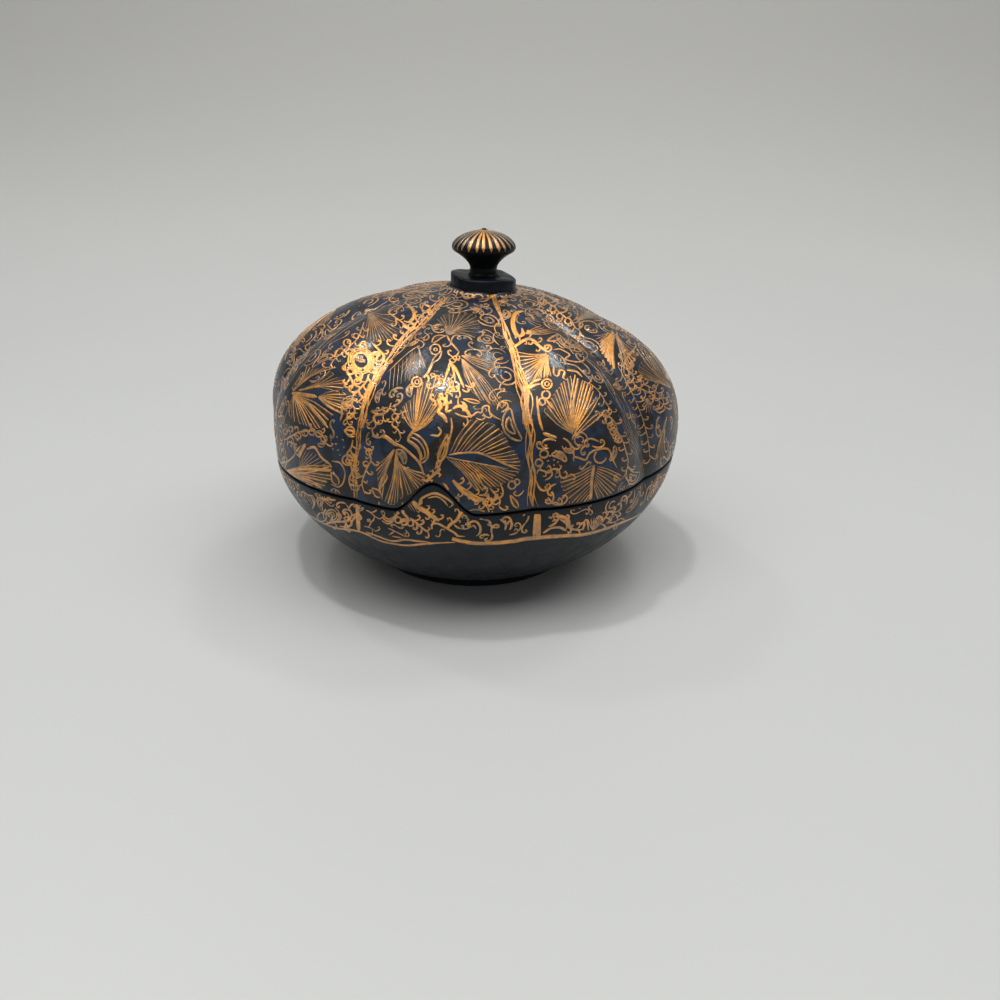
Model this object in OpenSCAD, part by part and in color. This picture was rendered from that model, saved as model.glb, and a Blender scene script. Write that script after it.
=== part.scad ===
// A lidded papier-mache keepsake box with a lobed, melon-like body.
// The origin is the centre of the foot on the table, with +Z up.
// Turns are angles in degrees about Z, counted from the front (-Y) towards the right (+X).

/* [Body] */
// Half-width across the fullest part, measured at the crests of the lobes
body_r = 58; // [50:0.5:66]
// Height of the fullest part above the table
girth_h = 41.7; // [38:0.1:48]
// Rise of the dome from the fullest part to its crown
dome_rise = 35.8; // [30:0.1:42]
// How boxy the dome's flank is, 2 being an ellipse
dome_flank = 1.77; // [1.6:0.01:2.2]
// How boxy the dome's top is, 2 being an ellipse
dome_top = 2.35; // [2:0.01:2.6]
// How boxy the bowl's flank is, 2 being an ellipse
bowl_flank = 1.63; // [1.4:0.01:2.2]
// How boxy the bowl's underside is, 2 being an ellipse
bowl_under = 2.33; // [2:0.01:2.6]
// Thickness of the papier-mache wall
wall = 3; // [2.4:0.1:4]

/* [Lobes] */
// Depth of the valleys between the lobes at the fullest part
valley_depth = 3.4; // [1:0.1:4.5]
// How narrow the valleys are, higher being narrower
valley_power = 2.4; // [1.8:0.1:3.5]
// Distance from the crown seat over which the valleys deepen
valley_run = 24; // [15:0.5:35]
// Part of the bowl's height over which the valleys fade out
valley_fade = 0.43; // [0.3:0.01:0.7]
// How much lower the dome's right shoulder sits than its middle
lean = 1.7; // [0:0.1:3]

/* [Seam] */
// Height of the seam at the front, beside the tongue
seam_h = 34.3; // [31:0.1:37]
// How much the seam climbs from the middle to the right
seam_side = 0.8; // [0:0.1:2]
// How much lower the seam lies at the back than at the front
seam_back = 1.5; // [0:0.1:3]
// Gap between the lid's edge and the bowl's rim
seam_gap = 0.6; // [0.4:0.1:1]
// Rise of the tongue that keys the lid to the bowl
tongue_rise = 8; // [4:0.1:10]
// Turn of the tongue's peak
tongue_turn = -9.5; // [-20:0.5:5]
// Half of the turn that the tongue covers
tongue_half = 10.5; // [8:0.5:12]

/* [Foot] */
// Outer radius of the foot ring
foot_r = 29.6; // [24:0.1:34]
// Height of the foot ring below the bowl
foot_h = 2.1; // [1.5:0.1:4]
// Width of the face that the foot stands on
foot_w = 4; // [2:0.1:6]
// Depth of the hollow inside the foot ring
foot_recess = 1.2; // [0.6:0.1:1.4]
// How much the foot narrows from its top to the table
foot_taper = 0.5; // [0:0.1:1]

/* [Locating collar] */
// Thickness of the strip that stands inside the bowl's mouth
collar_t = 2; // [1.5:0.1:3]
// How far the strip stands above the seam
collar_rise = 6; // [3:0.5:7]
// How far the strip reaches down inside the bowl
collar_drop = 8; // [5:0.5:10]
// Clearance between the strip and the lid's inside
collar_clear = 0.5; // [0.4:0.05:1]
// Glue line between the strip and the bowl's inside
glue_line = 0.2; // [0.15:0.05:0.3]

/* [Crown disc] */
// Radius of the disc that seats the knob on the crown
disc_r = 8.9; // [8:0.1:10]
// Thickness of the disc
disc_h = 3.8; // [2.5:0.1:5]
// How unevenly the disc's edge was trimmed
disc_trim = 0.5; // [0:0.05:0.8]
// Flats left round the disc by trimming
disc_flats = 13; // [9:1:20]
// Slope of the worn right-hand side of the disc, in degrees
disc_wear = 14; // [5:1:25]
// Margin of the crown's flat seat round the disc
seat_margin = 0.4; // [0.2:0.1:1]

/* [Knob] */
// How far the knob stands to the right of the middle
knob_shift = 2; // [0:0.1:3]
// Radius of the knob's rim
knob_r = 8.6; // [7.5:0.1:10]
// Height of the rim above the disc
knob_rim_h = 7.5; // [6:0.1:9]
// Rise of the cap from its rim to its tip
knob_cap = 4.6; // [3:0.1:6]
// Radius of the small tip
knob_tip_r = 0.7; // [0.4:0.1:1]
// Radius of the neck
neck_r = 3.65; // [3:0.05:4.5]
// Height of the neck's narrowest part above the disc
neck_h = 2.6; // [1.5:0.1:3.5]
// Radius of the neck's flared foot
neck_foot_r = 5.4; // [4.8:0.1:6.5]
// Radius of the peg below the neck
peg_r = 2; // [1.5:0.1:2.5]
// Clearance round the peg in the disc and the crown
peg_clear = 0.2; // [0.15:0.05:0.3]
// How far the peg shows inside the lid
peg_show = 0.8; // [0:0.1:2]

/* [Hidden] */

// Turns of the valleys as the maker laid them out, by eye and not quite even
valley_turns = [-77, -32, 15, 52, 111, 155, 195, 235];
lobes = len(valley_turns);
// Rays in a lobe, and in the lobe that carries the tongue
lobe_steps = 10;
tongue_steps = 22;
// Rings from the seam to the crown or to the foot, outside and inside
dome_rings = 14;
dome_rings_in = 10;
bowl_rings = 8;
bowl_rings_in = 7;
collar_rings = 2;
// Part of the way along a wall by which its rings are level again
settle = 0.5;

// The crown is flat where the disc sits, and its flat reaches round the shifted disc
seat_r = disc_r + seat_margin + knob_shift;
hole_r = peg_r + peg_clear;
// Angle from the girth at which the bowl meets the foot
foot_angle = acos(pow(foot_r / body_r, bowl_flank / 2));
bowl_drop = (girth_h - foot_h) / pow(sin(foot_angle), 2 / bowl_under);
// Angle from the girth at which the dome meets the flat seat
seat_angle = acos(pow(seat_r / body_r, dome_flank / 2));
seat_z = girth_h + dome_rise * pow(sin(seat_angle), 2 / dome_top);
floor_z = foot_recess + wall;
// Inside the crown the ceiling lies one wall below the seat
ceiling_z = seat_z - wall;
ceiling_angle = acos(pow(seat_r / (body_r - wall), dome_flank / 2));
disc_top_z = seat_z + disc_h;

lid_colour = "#2b2a26";
bowl_colour = "#1d2023";
collar_colour = "#241f1b";
disc_colour = "#16181d";
knob_colour = "#6e4a1c";

function smooth(x) = let (c = min(1, max(0, x))) c * c * (3 - 2 * c);

// A ray is a turn and how far it lies towards a valley, from 0 on a crest to 1 in a valley
function valley_after(k) = k + 1 < lobes ? valley_turns[k + 1] : valley_turns[0] + 360;
function steps_in(k) =
    valley_turns[k] <= tongue_turn && tongue_turn < valley_after(k) ? tongue_steps : lobe_steps;
function ray(k, part) = [
    valley_turns[k] + (valley_after(k) - valley_turns[k]) * part,
    pow(abs(2 * part - 1), valley_power)
];
rays = [for (k = [0:lobes - 1]) for (j = [0:steps_in(k) - 1]) ray(k, j / steps_in(k))];

// Height of the seam along a turn, tongue apart and with it
function plain_seam(turn) = seam_h + seam_side * sin(turn) - seam_back * (1 - cos(turn)) / 2;
function tongue(turn) =
    let (part = min(1, abs(turn - tongue_turn) / tongue_half)) tongue_rise * pow(cos(90 * part), 2);
function seam(turn) = plain_seam(turn) + tongue(turn);

// The section runs from the girth: angles below 0 go down the bowl, and above 0 up the dome.
// An inset of 0 is the outside, and an inset of one wall is the inside.
function rise_of(inset) = inset > 0 ? ceiling_z - girth_h : dome_rise;
function crest_r(angle, inset) =
    (body_r - inset) * pow(cos(angle), 2 / (angle < 0 ? bowl_flank : dome_flank));
function crest_z(angle, inset) =
    angle < 0 ? girth_h - (bowl_drop - inset) * pow(sin(-angle), 2 / bowl_under)
    : girth_h + rise_of(inset) * pow(sin(angle), 2 / dome_top);
function angle_at(z, inset) =
    z < girth_h ? -asin(pow((girth_h - z) / (bowl_drop - inset), bowl_under / 2))
    : asin(pow((z - girth_h) / rise_of(inset), dome_top / 2));

// Valleys start at the flat seat, are deepest on the flank and fade out down the bowl
function valley_share(angle, r, z) =
    angle < 0 ? pow(max(0, 1 - (girth_h - z) / (girth_h - foot_h) / valley_fade), 1.5)
    : smooth((r - seat_r) / valley_run);
function pull(ray, angle, r, z) =
    let (share = valley_share(angle, r, z), up = max(0, (z - girth_h) / dome_rise))
    1 - share * (valley_depth * ray[1] + lean * sin(ray[0]) * up) / body_r;
function around(turn, r, z) = [r * sin(turn), -r * cos(turn), z];
function skin(ray, angle, inset) =
    let (
        r = crest_r(angle, inset),
        z = crest_z(angle, inset),
        k = pull(ray, angle, r, z)
    )
    around(ray[0], r * k, angle < 0 ? z : girth_h + (z - girth_h) * k);
function skin_r(ray, z, inset) =
    let (p = skin(ray, angle_at(z, inset), inset)) norm([p[0], p[1]]);

// Rings of points from the cut edge to an angle: the first follows the tongue, and the
// next few settle back to level rings
function cut_angle(turn, lift, part, inset) =
    let (
        level = angle_at(plain_seam(turn) + lift, inset),
        own = angle_at(seam(turn) + lift, inset)
    )
    level + (own - level) * max(0, 1 - part / settle);
function ring_angle(turn, lift, to_angle, part, inset) =
    let (from = cut_angle(turn, lift, part, inset)) from + (to_angle - from) * part;
function wall_rings(lift, to_angle, inset, count) = [
    for (i = [0:count])
        [for (q = rays) skin(q, ring_angle(q[0], lift, to_angle, i / count, inset), inset)]
];
function flat_ring(r, z, shift = 0) = [for (q = rays) around(q[0], r, z) + [shift, 0, 0]];
function turned(rings) = [for (i = [len(rings) - 1:-1:0]) rings[i]];

// Joins rings of equal length into one closed solid: a tube bent back on itself, or a
// form whose first and last rings are flat lids
module rings_solid(rings, loop) {
    n = len(rings[0]);
    rows = len(rings);
    sides = [
        for (i = [0:loop ? rows - 1 : rows - 2]) for (j = [0:n - 1])
            let (
                a = i * n + j,
                b = i * n + (j + 1) % n,
                c = ((i + 1) % rows) * n + (j + 1) % n,
                d = ((i + 1) % rows) * n + j
            )
            each [[a, c, b], [a, d, c]]
    ];
    caps = loop ? [] : [[for (j = [0:n - 1]) j], [for (j = [n - 1:-1:0]) (rows - 1) * n + j]];
    polyhedron(points = [for (ring = rings) each ring], faces = concat(sides, caps));
}

module bowl() {
    outside = wall_rings(0, -foot_angle, 0, bowl_rings);
    inside = wall_rings(0, angle_at(floor_z, wall), wall, bowl_rings_in);
    foot = [
        flat_ring(foot_r - foot_w, foot_recess),
        flat_ring(foot_r - foot_w, 0),
        flat_ring(foot_r - foot_taper, 0)
    ];
    color(bowl_colour) rings_solid(concat(foot, turned(outside), inside), loop = false);
}

module locating_collar() {
    // The strip clears the lid's inside from the seam to its own top
    function stand_r(q) =
        min(
            skin_r(q, plain_seam(q[0]), wall),
            skin_r(q, plain_seam(q[0]) + collar_rise, wall)
        ) - collar_clear;
    function back_r(q, z) = min(stand_r(q), skin_r(q, z, wall) - glue_line);
    function level(q, part) = plain_seam(q[0]) - collar_drop * (1 - part);
    low = [
        for (i = [0:collar_rings - 1])
            [for (q = rays) let (z = level(q, i / collar_rings)) around(q[0], back_r(q, z), z)]
    ];
    low_face = [
        for (i = [0:collar_rings - 1])
            [
                for (q = rays)
                    let (z = level(q, i / collar_rings)) around(q[0], back_r(q, z) - collar_t, z)
            ]
    ];
    top_out = [for (q = rays) around(q[0], stand_r(q), plain_seam(q[0]) + collar_rise)];
    seam_out = [for (q = rays) around(q[0], stand_r(q), plain_seam(q[0]))];
    top_in = [for (q = rays) around(q[0], stand_r(q) - collar_t, plain_seam(q[0]) + collar_rise)];
    seam_in = [for (q = rays) around(q[0], stand_r(q) - collar_t, plain_seam(q[0]))];
    color(collar_colour)
        rings_solid(concat(low, [seam_out, top_out, top_in, seam_in], turned(low_face)), loop = true);
}

module lid() {
    outside = wall_rings(seam_gap, seat_angle, 0, dome_rings);
    inside = wall_rings(seam_gap, ceiling_angle, wall, dome_rings_in);
    hole = [flat_ring(hole_r, seat_z, knob_shift), flat_ring(hole_r, ceiling_z, knob_shift)];
    color(lid_colour) rings_solid(concat(outside, hole, turned(inside)), loop = true);
}

// The disc is a trimmed polygon, so that each flat lies a little nearer or further out
module crown_disc() {
    function trimmed(i) = disc_r - disc_trim * (0.5 + 0.5 * sin(i * i * 67));
    outline = [
        for (i = [0:disc_flats - 1])
            trimmed(i) * [cos(360 * i / disc_flats), sin(360 * i / disc_flats)]
    ];
    color(disc_colour)
        translate([knob_shift, 0, seat_z])
            difference() {
                linear_extrude(disc_h) polygon(outline);
                translate([0, 0, -1]) cylinder(r = hole_r, h = disc_h + 2, $fn = 48);
                translate([neck_foot_r, -2 * disc_r, disc_h])
                    rotate([0, disc_wear, 0]) cube([2 * disc_r, 4 * disc_r, disc_h]);
            }
}

module knob() {
    steps = 10;
    // Flare at the foot of the neck, a quarter of an ellipse
    flare = [
        for (i = [0:steps])
            let (a = 90 * i / steps)
            [neck_foot_r - (neck_foot_r - neck_r) * sin(a), neck_h * (1 - cos(a))]
    ];
    // Underside of the cap, swelling from the neck to the rim
    under = [
        for (i = [1:steps])
            [
                neck_r + (knob_r - neck_r) * smooth(i / steps),
                neck_h + (knob_rim_h - neck_h) * i / steps
            ]
    ];
    // Top of the cap, a shallow cone that rounds over towards the rim
    top = [
        for (i = [1:steps - 1])
            let (r = knob_r - (knob_r - knob_tip_r) * i / (steps - 1))
            [r, knob_rim_h + knob_cap * (1 - pow(r / knob_r, 1.6))]
    ];
    tip_z = knob_rim_h + knob_cap + knob_tip_r / 2;
    peg_z = ceiling_z - peg_show - disc_top_z;
    color(knob_colour)
        translate([knob_shift, 0, disc_top_z])
            rotate_extrude($fn = 64)
                polygon(concat([[0, peg_z], [peg_r, peg_z], [peg_r, 0]], flare, under, top, [[0, tip_z]]));
}

bowl();
locating_collar();
lid();
crown_disc();
knob();
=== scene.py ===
# %% [markdown]
# # A lobed papier-mache box
# The box is pasted up from layers of paper, sanded, lacquered nearly black and painted with
# gold. It is made here as its maker made it: first the bare shells, then the lacquer, then
# the gold, stroke by stroke. Everything is laid out in millimetres and turned to metres last.

# %% Load the frame
import math
import random

import bpy
import numpy as np
from mathutils import Matrix, Vector
from mathutils.bvhtree import BVHTree


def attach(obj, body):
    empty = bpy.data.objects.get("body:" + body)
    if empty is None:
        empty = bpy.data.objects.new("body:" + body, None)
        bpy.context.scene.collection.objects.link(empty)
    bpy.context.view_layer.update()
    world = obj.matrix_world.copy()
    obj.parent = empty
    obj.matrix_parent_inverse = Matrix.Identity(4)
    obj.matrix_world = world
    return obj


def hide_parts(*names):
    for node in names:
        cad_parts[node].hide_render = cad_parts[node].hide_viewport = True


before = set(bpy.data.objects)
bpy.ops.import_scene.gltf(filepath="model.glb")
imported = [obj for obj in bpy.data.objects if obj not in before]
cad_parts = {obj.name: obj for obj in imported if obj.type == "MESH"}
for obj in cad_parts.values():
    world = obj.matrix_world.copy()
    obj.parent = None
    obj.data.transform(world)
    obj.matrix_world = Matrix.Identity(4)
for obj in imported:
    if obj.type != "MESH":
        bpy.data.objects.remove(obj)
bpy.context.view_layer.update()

MM = 0.001

# %% [markdown]
# ## Sums that work on numbers and in a node tree
# The shells follow one rule, and two things need it: the Geometry Nodes that make them, and
# the sums that lay the painting on them. A Field is a number inside a node tree that can be
# added, multiplied and raised like any other, so that the rule is written only once.


# %% A number in a node tree
class Field:
    """A number that a node tree works out, for use in ordinary sums."""

    def __init__(self, tree, socket):
        self.tree = tree
        self.socket = socket

    def calc(self, operation, *others):
        node = self.tree.nodes.new("ShaderNodeMath")
        node.operation = operation
        for place, value in zip(node.inputs, (self, *others)):
            if isinstance(value, Field):
                self.tree.links.new(value.socket, place)
            else:
                place.default_value = value
        return Field(self.tree, node.outputs[0])

    def __add__(self, other):
        return self.calc("ADD", other)

    def __sub__(self, other):
        return self.calc("SUBTRACT", other)

    def __mul__(self, other):
        return self.calc("MULTIPLY", other)

    def __truediv__(self, other):
        return self.calc("DIVIDE", other)

    def __neg__(self):
        return self.calc("MULTIPLY", -1)

    def __rsub__(self, other):
        return -self + other

    def __rtruediv__(self, other):
        return self.calc("POWER", -1) * other

    __radd__ = __add__
    __rmul__ = __mul__


def either(node_way, number_way):
    """A function that adds a node for a Field and works a plain number out at once."""

    def act(first, *rest):
        if isinstance(first, Field):
            return first.calc(node_way, *rest)
        return number_way(first, *rest)

    return act


sine = either("SINE", np.sin)
cosine = either("COSINE", np.cos)
arcsine = either("ARCSINE", lambda a: np.arcsin(np.clip(a, -1, 1)))
size_of = either("ABSOLUTE", np.abs)
sign_of = either("SIGN", np.sign)
larger = either("MAXIMUM", np.maximum)
smaller = either("MINIMUM", np.minimum)
power = either("POWER", lambda a, b: np.maximum(a, 0) ** b)
less = either("LESS_THAN", lambda a, b: np.less(a, b) * 1.0)

# %% [markdown]
# ## The rule of the shells
# A section through a lobe's crest is a boxy ellipse, fuller at the top than below. It is
# carried round the axis, and pulled inwards along eight valleys that a maker presses by eye,
# so they aren't evenly spaced. The seam rises to a tongue in front, which keys the lid.

# %% Sizes, in millimetres and degrees
SIZES = {
    "Body radius": 58.0,
    "Girth height": 41.7,
    "Dome rise": 35.8,
    "Dome flank": 1.77,
    "Dome top": 2.35,
    "Bowl flank": 1.63,
    "Bowl under": 2.33,
    "Wall": 3.0,
    "Valley depth": 3.4,
    "Valley power": 2.4,
    "Valley run": 24.0,
    "Valley fade": 0.43,
    "Lean": 1.7,
    "Seam height": 34.3,
    "Seam side": 0.8,
    "Seam back": 1.5,
    "Seam gap": 0.6,
    "Tongue rise": 8.0,
    "Tongue turn": -9.5,
    "Tongue half": 10.5,
}
VALLEYS = [-77, -32, 15, 52, 111, 155, 195, 235]  # turned from the front towards the right
FOOT_R, FOOT_H, FOOT_W, FOOT_HOLLOW, FOOT_TAPER = 29.6, 2.1, 4.0, 1.2, 0.5  # the foot ring
KNOB_X, SEAT_R, HOLE_R = 2.0, 11.3, 2.2  # the knob stands a little right of the axis
LACQUER = 0.18  # the painted skin lies this far inside the CAD shell, so that gold has room
EDGE = 0.35  # how far the rims of the two cut edges are rounded
SETTLE = 0.5  # the share of a wall over which its rings turn from wavy to level

degree = math.pi / 180
foot_angle = math.acos((FOOT_R / SIZES["Body radius"]) ** (SIZES["Bowl flank"] / 2))
bowl_drop = (SIZES["Girth height"] - FOOT_H) / math.sin(foot_angle) ** (2 / SIZES["Bowl under"])
seat_angle = math.acos((SEAT_R / SIZES["Body radius"]) ** (SIZES["Dome flank"] / 2))
seat_rise = math.sin(seat_angle) ** (2 / SIZES["Dome top"])
seat_z = SIZES["Girth height"] + SIZES["Dome rise"] * seat_rise
ceiling_z = seat_z - SIZES["Wall"]
ceiling_share = SEAT_R / (SIZES["Body radius"] - SIZES["Wall"])
ceiling_angle = math.acos(ceiling_share ** (SIZES["Dome flank"] / 2))
floor_z = FOOT_HOLLOW + SIZES["Wall"]
print(f"seat {seat_z:.2f} mm up, floor {floor_z:.2f} mm up, bowl's drop {bowl_drop:.2f} mm")


# %% The rule itself
def pick(which, yes, no):
    """yes where which is 1, no where it is 0."""
    return (yes - no) * which + no


def eased(share):
    """A share from 0 to 1 that starts and ends gently."""
    return share * share * (3 - 2 * share)


def toward_valley(turn, s):
    """0 on the crest of a lobe, 1 in a valley."""
    nearest = 1.0
    for start, end in zip(VALLEYS, VALLEYS[1:] + [VALLEYS[0] + 360]):
        across = size_of((turn - start) * (2 / (end - start)) - 1)
        nearest = smaller(across, nearest)
    return power(nearest, s["Valley power"])


def rise_of(inset, s):
    """Height of the dome above the girth, less as the skin lies deeper in the wall."""
    lost = (s["Dome rise"] + s["Girth height"] - ceiling_z) / s["Wall"]
    return s["Dome rise"] - lost * inset


def drop_of(inset):
    """Depth of the bowl's curve below the girth, less as the skin lies deeper."""
    return bowl_drop - inset


def section(angle, inset, s):
    """Radius and height of a crest's section. Angles below 0 lie under the girth."""
    under = less(angle, 0)
    flank = pick(under, s["Bowl flank"], s["Dome flank"])
    r = (s["Body radius"] - inset) * power(cosine(angle), 2 / flank)
    down = drop_of(inset) * power(sine(-angle), 2 / s["Bowl under"])
    up = rise_of(inset, s) * power(sine(angle), 2 / s["Dome top"])
    return r, s["Girth height"] + pick(under, -down, up)


def angle_at(z, inset, s):
    """The section's angle at a height."""
    over = z - s["Girth height"]
    down = arcsine(power(-over / drop_of(inset), s["Bowl under"] / 2))
    up = arcsine(power(over / rise_of(inset, s), s["Dome top"] / 2))
    return pick(less(over, 0), -down, up)


def pull(turn, angle, r, z, s):
    """Share of the section's radius that is left after the valleys are pressed in."""
    under = (s["Girth height"] - z) / (s["Girth height"] - FOOT_H)
    fading = power(larger(1 - under / s["Valley fade"], 0), 1.5)
    run = smaller(larger((r - SEAT_R) / s["Valley run"], 0), 1)
    share = pick(less(angle, 0), fading, eased(run))
    up = larger((z - s["Girth height"]) / s["Dome rise"], 0)
    deep = s["Valley depth"] * toward_valley(turn, s) + s["Lean"] * sine(turn * degree) * up
    return 1 - share * deep / s["Body radius"]


def round_axis(turn, r, z):
    """A point at a turn from the front towards the right, a radius and a height."""
    return r * sine(turn * degree), r * cosine(turn * degree) * -1, z


def skin(turn, angle, inset, s):
    """The point of the shell at a turn and a section angle."""
    r, z = section(angle, inset, s)
    k = pull(turn, angle, r, z, s)
    over = z - s["Girth height"]
    return round_axis(turn, r * k, s["Girth height"] + over * pick(less(angle, 0), 1.0, k))


def plain_seam(turn, s):
    """Height of the seam without its tongue."""
    back = (1 - cosine(turn * degree)) / 2
    return s["Seam height"] + s["Seam side"] * sine(turn * degree) - s["Seam back"] * back


def seam(turn, s):
    """Height of the seam with its tongue."""
    part = smaller(size_of(turn - s["Tongue turn"]) / s["Tongue half"], 1)
    c = cosine(part * 90 * degree)
    return plain_seam(turn, s) + s["Tongue rise"] * c * c


def ring_of(angle, inset):
    """Radius and height, as plain numbers, of the ring at a section angle."""
    _, y, z = skin(0.0, angle, inset, SIZES)
    return -float(y), float(z)


def wall_angle(turn, part, lift, end, inset, s):
    """Rings from the cut edge to an angle, level again halfway along the wall."""
    level = angle_at(plain_seam(turn, s) + lift, inset, s)
    own = angle_at(seam(turn, s) + lift, inset, s)
    start = level + (own - level) * larger(1 - part / SETTLE, 0)
    return start + (end - start) * part


crest = skin(-9.0, 0.3, 0.0, SIZES)
print("a point on the front lobe, in mm:", [round(float(c), 2) for c in crest])


# %% [markdown]
# ## Making the shells
# Each shell is a few sheets of points that meet edge to edge: outside, rounded rim, inside,
# and the flat parts. A sheet is a Mesh Grid whose points are moved by the rule. This keeps
# the surface smooth enough for close views, where a hand-placed mesh would show its facets.


# %% A tree with named sizes
def new_tree(name, inputs):
    """A Geometry Nodes tree and its inputs by name, as sockets."""
    tree = bpy.data.node_groups.new(name, "GeometryNodeTree")
    tree.interface.new_socket("Geometry", in_out="INPUT", socket_type="NodeSocketGeometry")
    kinds = {float: "Float", int: "Int", bpy.types.Material: "Material"}
    for label, value in inputs.items():
        kind = kinds.get(type(value), "Object")
        tree.interface.new_socket(label, in_out="INPUT", socket_type="NodeSocket" + kind)
    tree.interface.new_socket("Geometry", in_out="OUTPUT", socket_type="NodeSocketGeometry")
    source = tree.nodes.new("NodeGroupInput")
    return tree, {socket.name: socket for socket in source.outputs if socket.name}


def add(tree, kind, links=None, **settings):
    """A node with its settings, its inputs linked or set by name."""
    node = tree.nodes.new(kind)
    for key, value in settings.items():
        setattr(node, key, value)
    for key, value in (links or {}).items():
        socket = node.inputs[key]
        if isinstance(value, Field):
            value = value.socket
        if isinstance(value, bpy.types.NodeSocket):
            tree.links.new(value, socket)
        else:
            socket.default_value = value
    return node


def close_tree(tree, geometry):
    """Makes instances real and ends the tree."""
    real = add(tree, "GeometryNodeRealizeInstances", {0: geometry})
    out = tree.nodes.new("NodeGroupOutput")
    tree.links.new(real.outputs[0], out.inputs[0])


def finish_tree(tree, parts):
    """Joins the parts, welds them where they meet, and ends the tree."""
    join = tree.nodes.new("GeometryNodeJoinGeometry")
    for part in parts:
        tree.links.new(part, join.inputs[0])
    weld = add(tree, "GeometryNodeMergeByDistance", {0: join.outputs[0], "Distance": 1e-6})
    close_tree(tree, add(tree, "GeometryNodeSetShadeSmooth", {0: weld.outputs[0]}).outputs[0])


def run_tree(tree, name, values):
    """Runs a tree on an object and keeps what it makes as a plain mesh object."""
    maker = bpy.data.objects.new(name + "_maker", bpy.data.meshes.new(name))
    bpy.context.scene.collection.objects.link(maker)
    modifier = maker.modifiers.new("make", "NODES")
    modifier.node_group = tree
    for item in tree.interface.items_tree:
        if item.in_out == "INPUT" and item.name in values:
            modifier[item.identifier] = values[item.name]
    maker.update_tag()
    bpy.context.view_layer.update()
    seen = maker.evaluated_get(bpy.context.evaluated_depsgraph_get())
    mesh = bpy.data.meshes.new_from_object(seen)
    bpy.data.objects.remove(maker)
    piece = bpy.data.objects.new(name, mesh)
    piece.data.name = name
    bpy.context.scene.collection.objects.link(piece)
    triangles = sum(len(p.vertices) - 2 for p in mesh.polygons)
    print(f"{name}: {triangles} triangles")
    return piece


def sheet(tree, across, down, place, finish):
    """A grid whose points lie where place(turn, part) puts them."""
    grid = add(tree, "GeometryNodeMeshGrid", {"Vertices X": across, "Vertices Y": down})
    here = tree.nodes.new("GeometryNodeInputPosition").outputs[0]
    spot = add(tree, "ShaderNodeSeparateXYZ", {0: here})
    turn = Field(tree, spot.outputs["X"]) * 360 + (VALLEYS[0] + 180)
    part = Field(tree, spot.outputs["Y"]) + 0.5
    x, y, z = place(turn, part)
    point = add(tree, "ShaderNodeCombineXYZ", {"X": x * MM, "Y": y * MM, "Z": z * MM})
    moved = add(tree, "GeometryNodeSetPosition", {0: grid.outputs[0], "Position": point.outputs[0]})
    done = add(tree, "GeometryNodeSetMaterial", {0: moved.outputs[0], "Material": finish})
    return done.outputs[0]


def rim(part, s, deep):
    """Inset and lift round a cut edge, from the outside to the inside of the wall.

    The square roots make its section a squarish arc.
    """
    c = cosine(part * math.pi)
    across = sign_of(c) * power(size_of(c), 0.5)
    half = (s["Wall"] - LACQUER) / 2
    return LACQUER + half * (1 - across), deep * (1 - power(sine(part * math.pi), 0.5))


# %% [markdown]
# ## Lacquer
# The ground is many coats of dark lacquer over paper: midnight blue in some patches, slate
# in others and warm brown-black where leaves were laid in. A noise with broad patches mixes
# the three, and a fine one gives the brushed and sanded unevenness. A clear coat over a
# slightly rough base gives the soft shine with small bright lights in it.


# %% A material helper and the lacquers
def new_material(name, **sockets):
    """A material and its Principled shader, with sockets set by name."""
    material = bpy.data.materials.new(name)
    material.use_nodes = True
    shader = material.node_tree.nodes["Principled BSDF"]
    for key, value in sockets.items():
        shader.inputs[key.replace("_", " ")].default_value = value
    return material, material.node_tree, shader


def noise(tree, scale, detail=3.0, seed=0.0):
    """Noise on Object coordinates, with its scale in waves per metre."""
    place = add(tree, "ShaderNodeTexCoord").outputs["Object"]
    apart = (seed, seed * 0.7, seed * 0.3)  # each seed looks at another place of the noise
    moved = add(tree, "ShaderNodeMapping", {"Vector": place, "Location": apart}).outputs[0]
    waves = {"Vector": moved, "Scale": scale, "Detail": detail, "Roughness": 0.5}
    return Field(tree, add(tree, "ShaderNodeTexNoise", waves).outputs[0])


def ramp(value, low, high, low_to=0.0, high_to=1.0):
    """value turned from low..high to low_to..high_to, kept within them."""
    limits = {"From Min": low, "From Max": high, "To Min": low_to, "To Max": high_to}
    made = add(value.tree, "ShaderNodeMapRange", {"Value": value, **limits})
    return Field(value.tree, made.outputs[0])


def blend(tree, share, first, second):
    """A colour between two, each an (r, g, b) or a colour socket."""
    mix = add(tree, "ShaderNodeMix", data_type="RGBA")
    tree.links.new(share.socket, mix.inputs["Factor"])
    for socket, colour in ((mix.inputs[6], first), (mix.inputs[7], second)):
        if isinstance(colour, tuple):
            socket.default_value = (*colour, 1)
        else:
            tree.links.new(colour, socket)
    return mix.outputs[2]


def bump(tree, shader, height, depth):
    """Unevenness of a depth in metres, on the base and on the clear coat."""
    node = add(tree, "ShaderNodeBump", {"Height": height, "Distance": depth})
    tree.links.new(node.outputs[0], shader.inputs["Normal"])
    tree.links.new(node.outputs[0], shader.inputs["Coat Normal"])


SLATE, NIGHT = (0.014, 0.020, 0.025), (0.021, 0.036, 0.070)
BROWN, DUST = (0.023, 0.016, 0.011), (0.06, 0.052, 0.04)
GRAIN_DEPTH = 0.00013  # of the sanded unevenness, in metres


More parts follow.
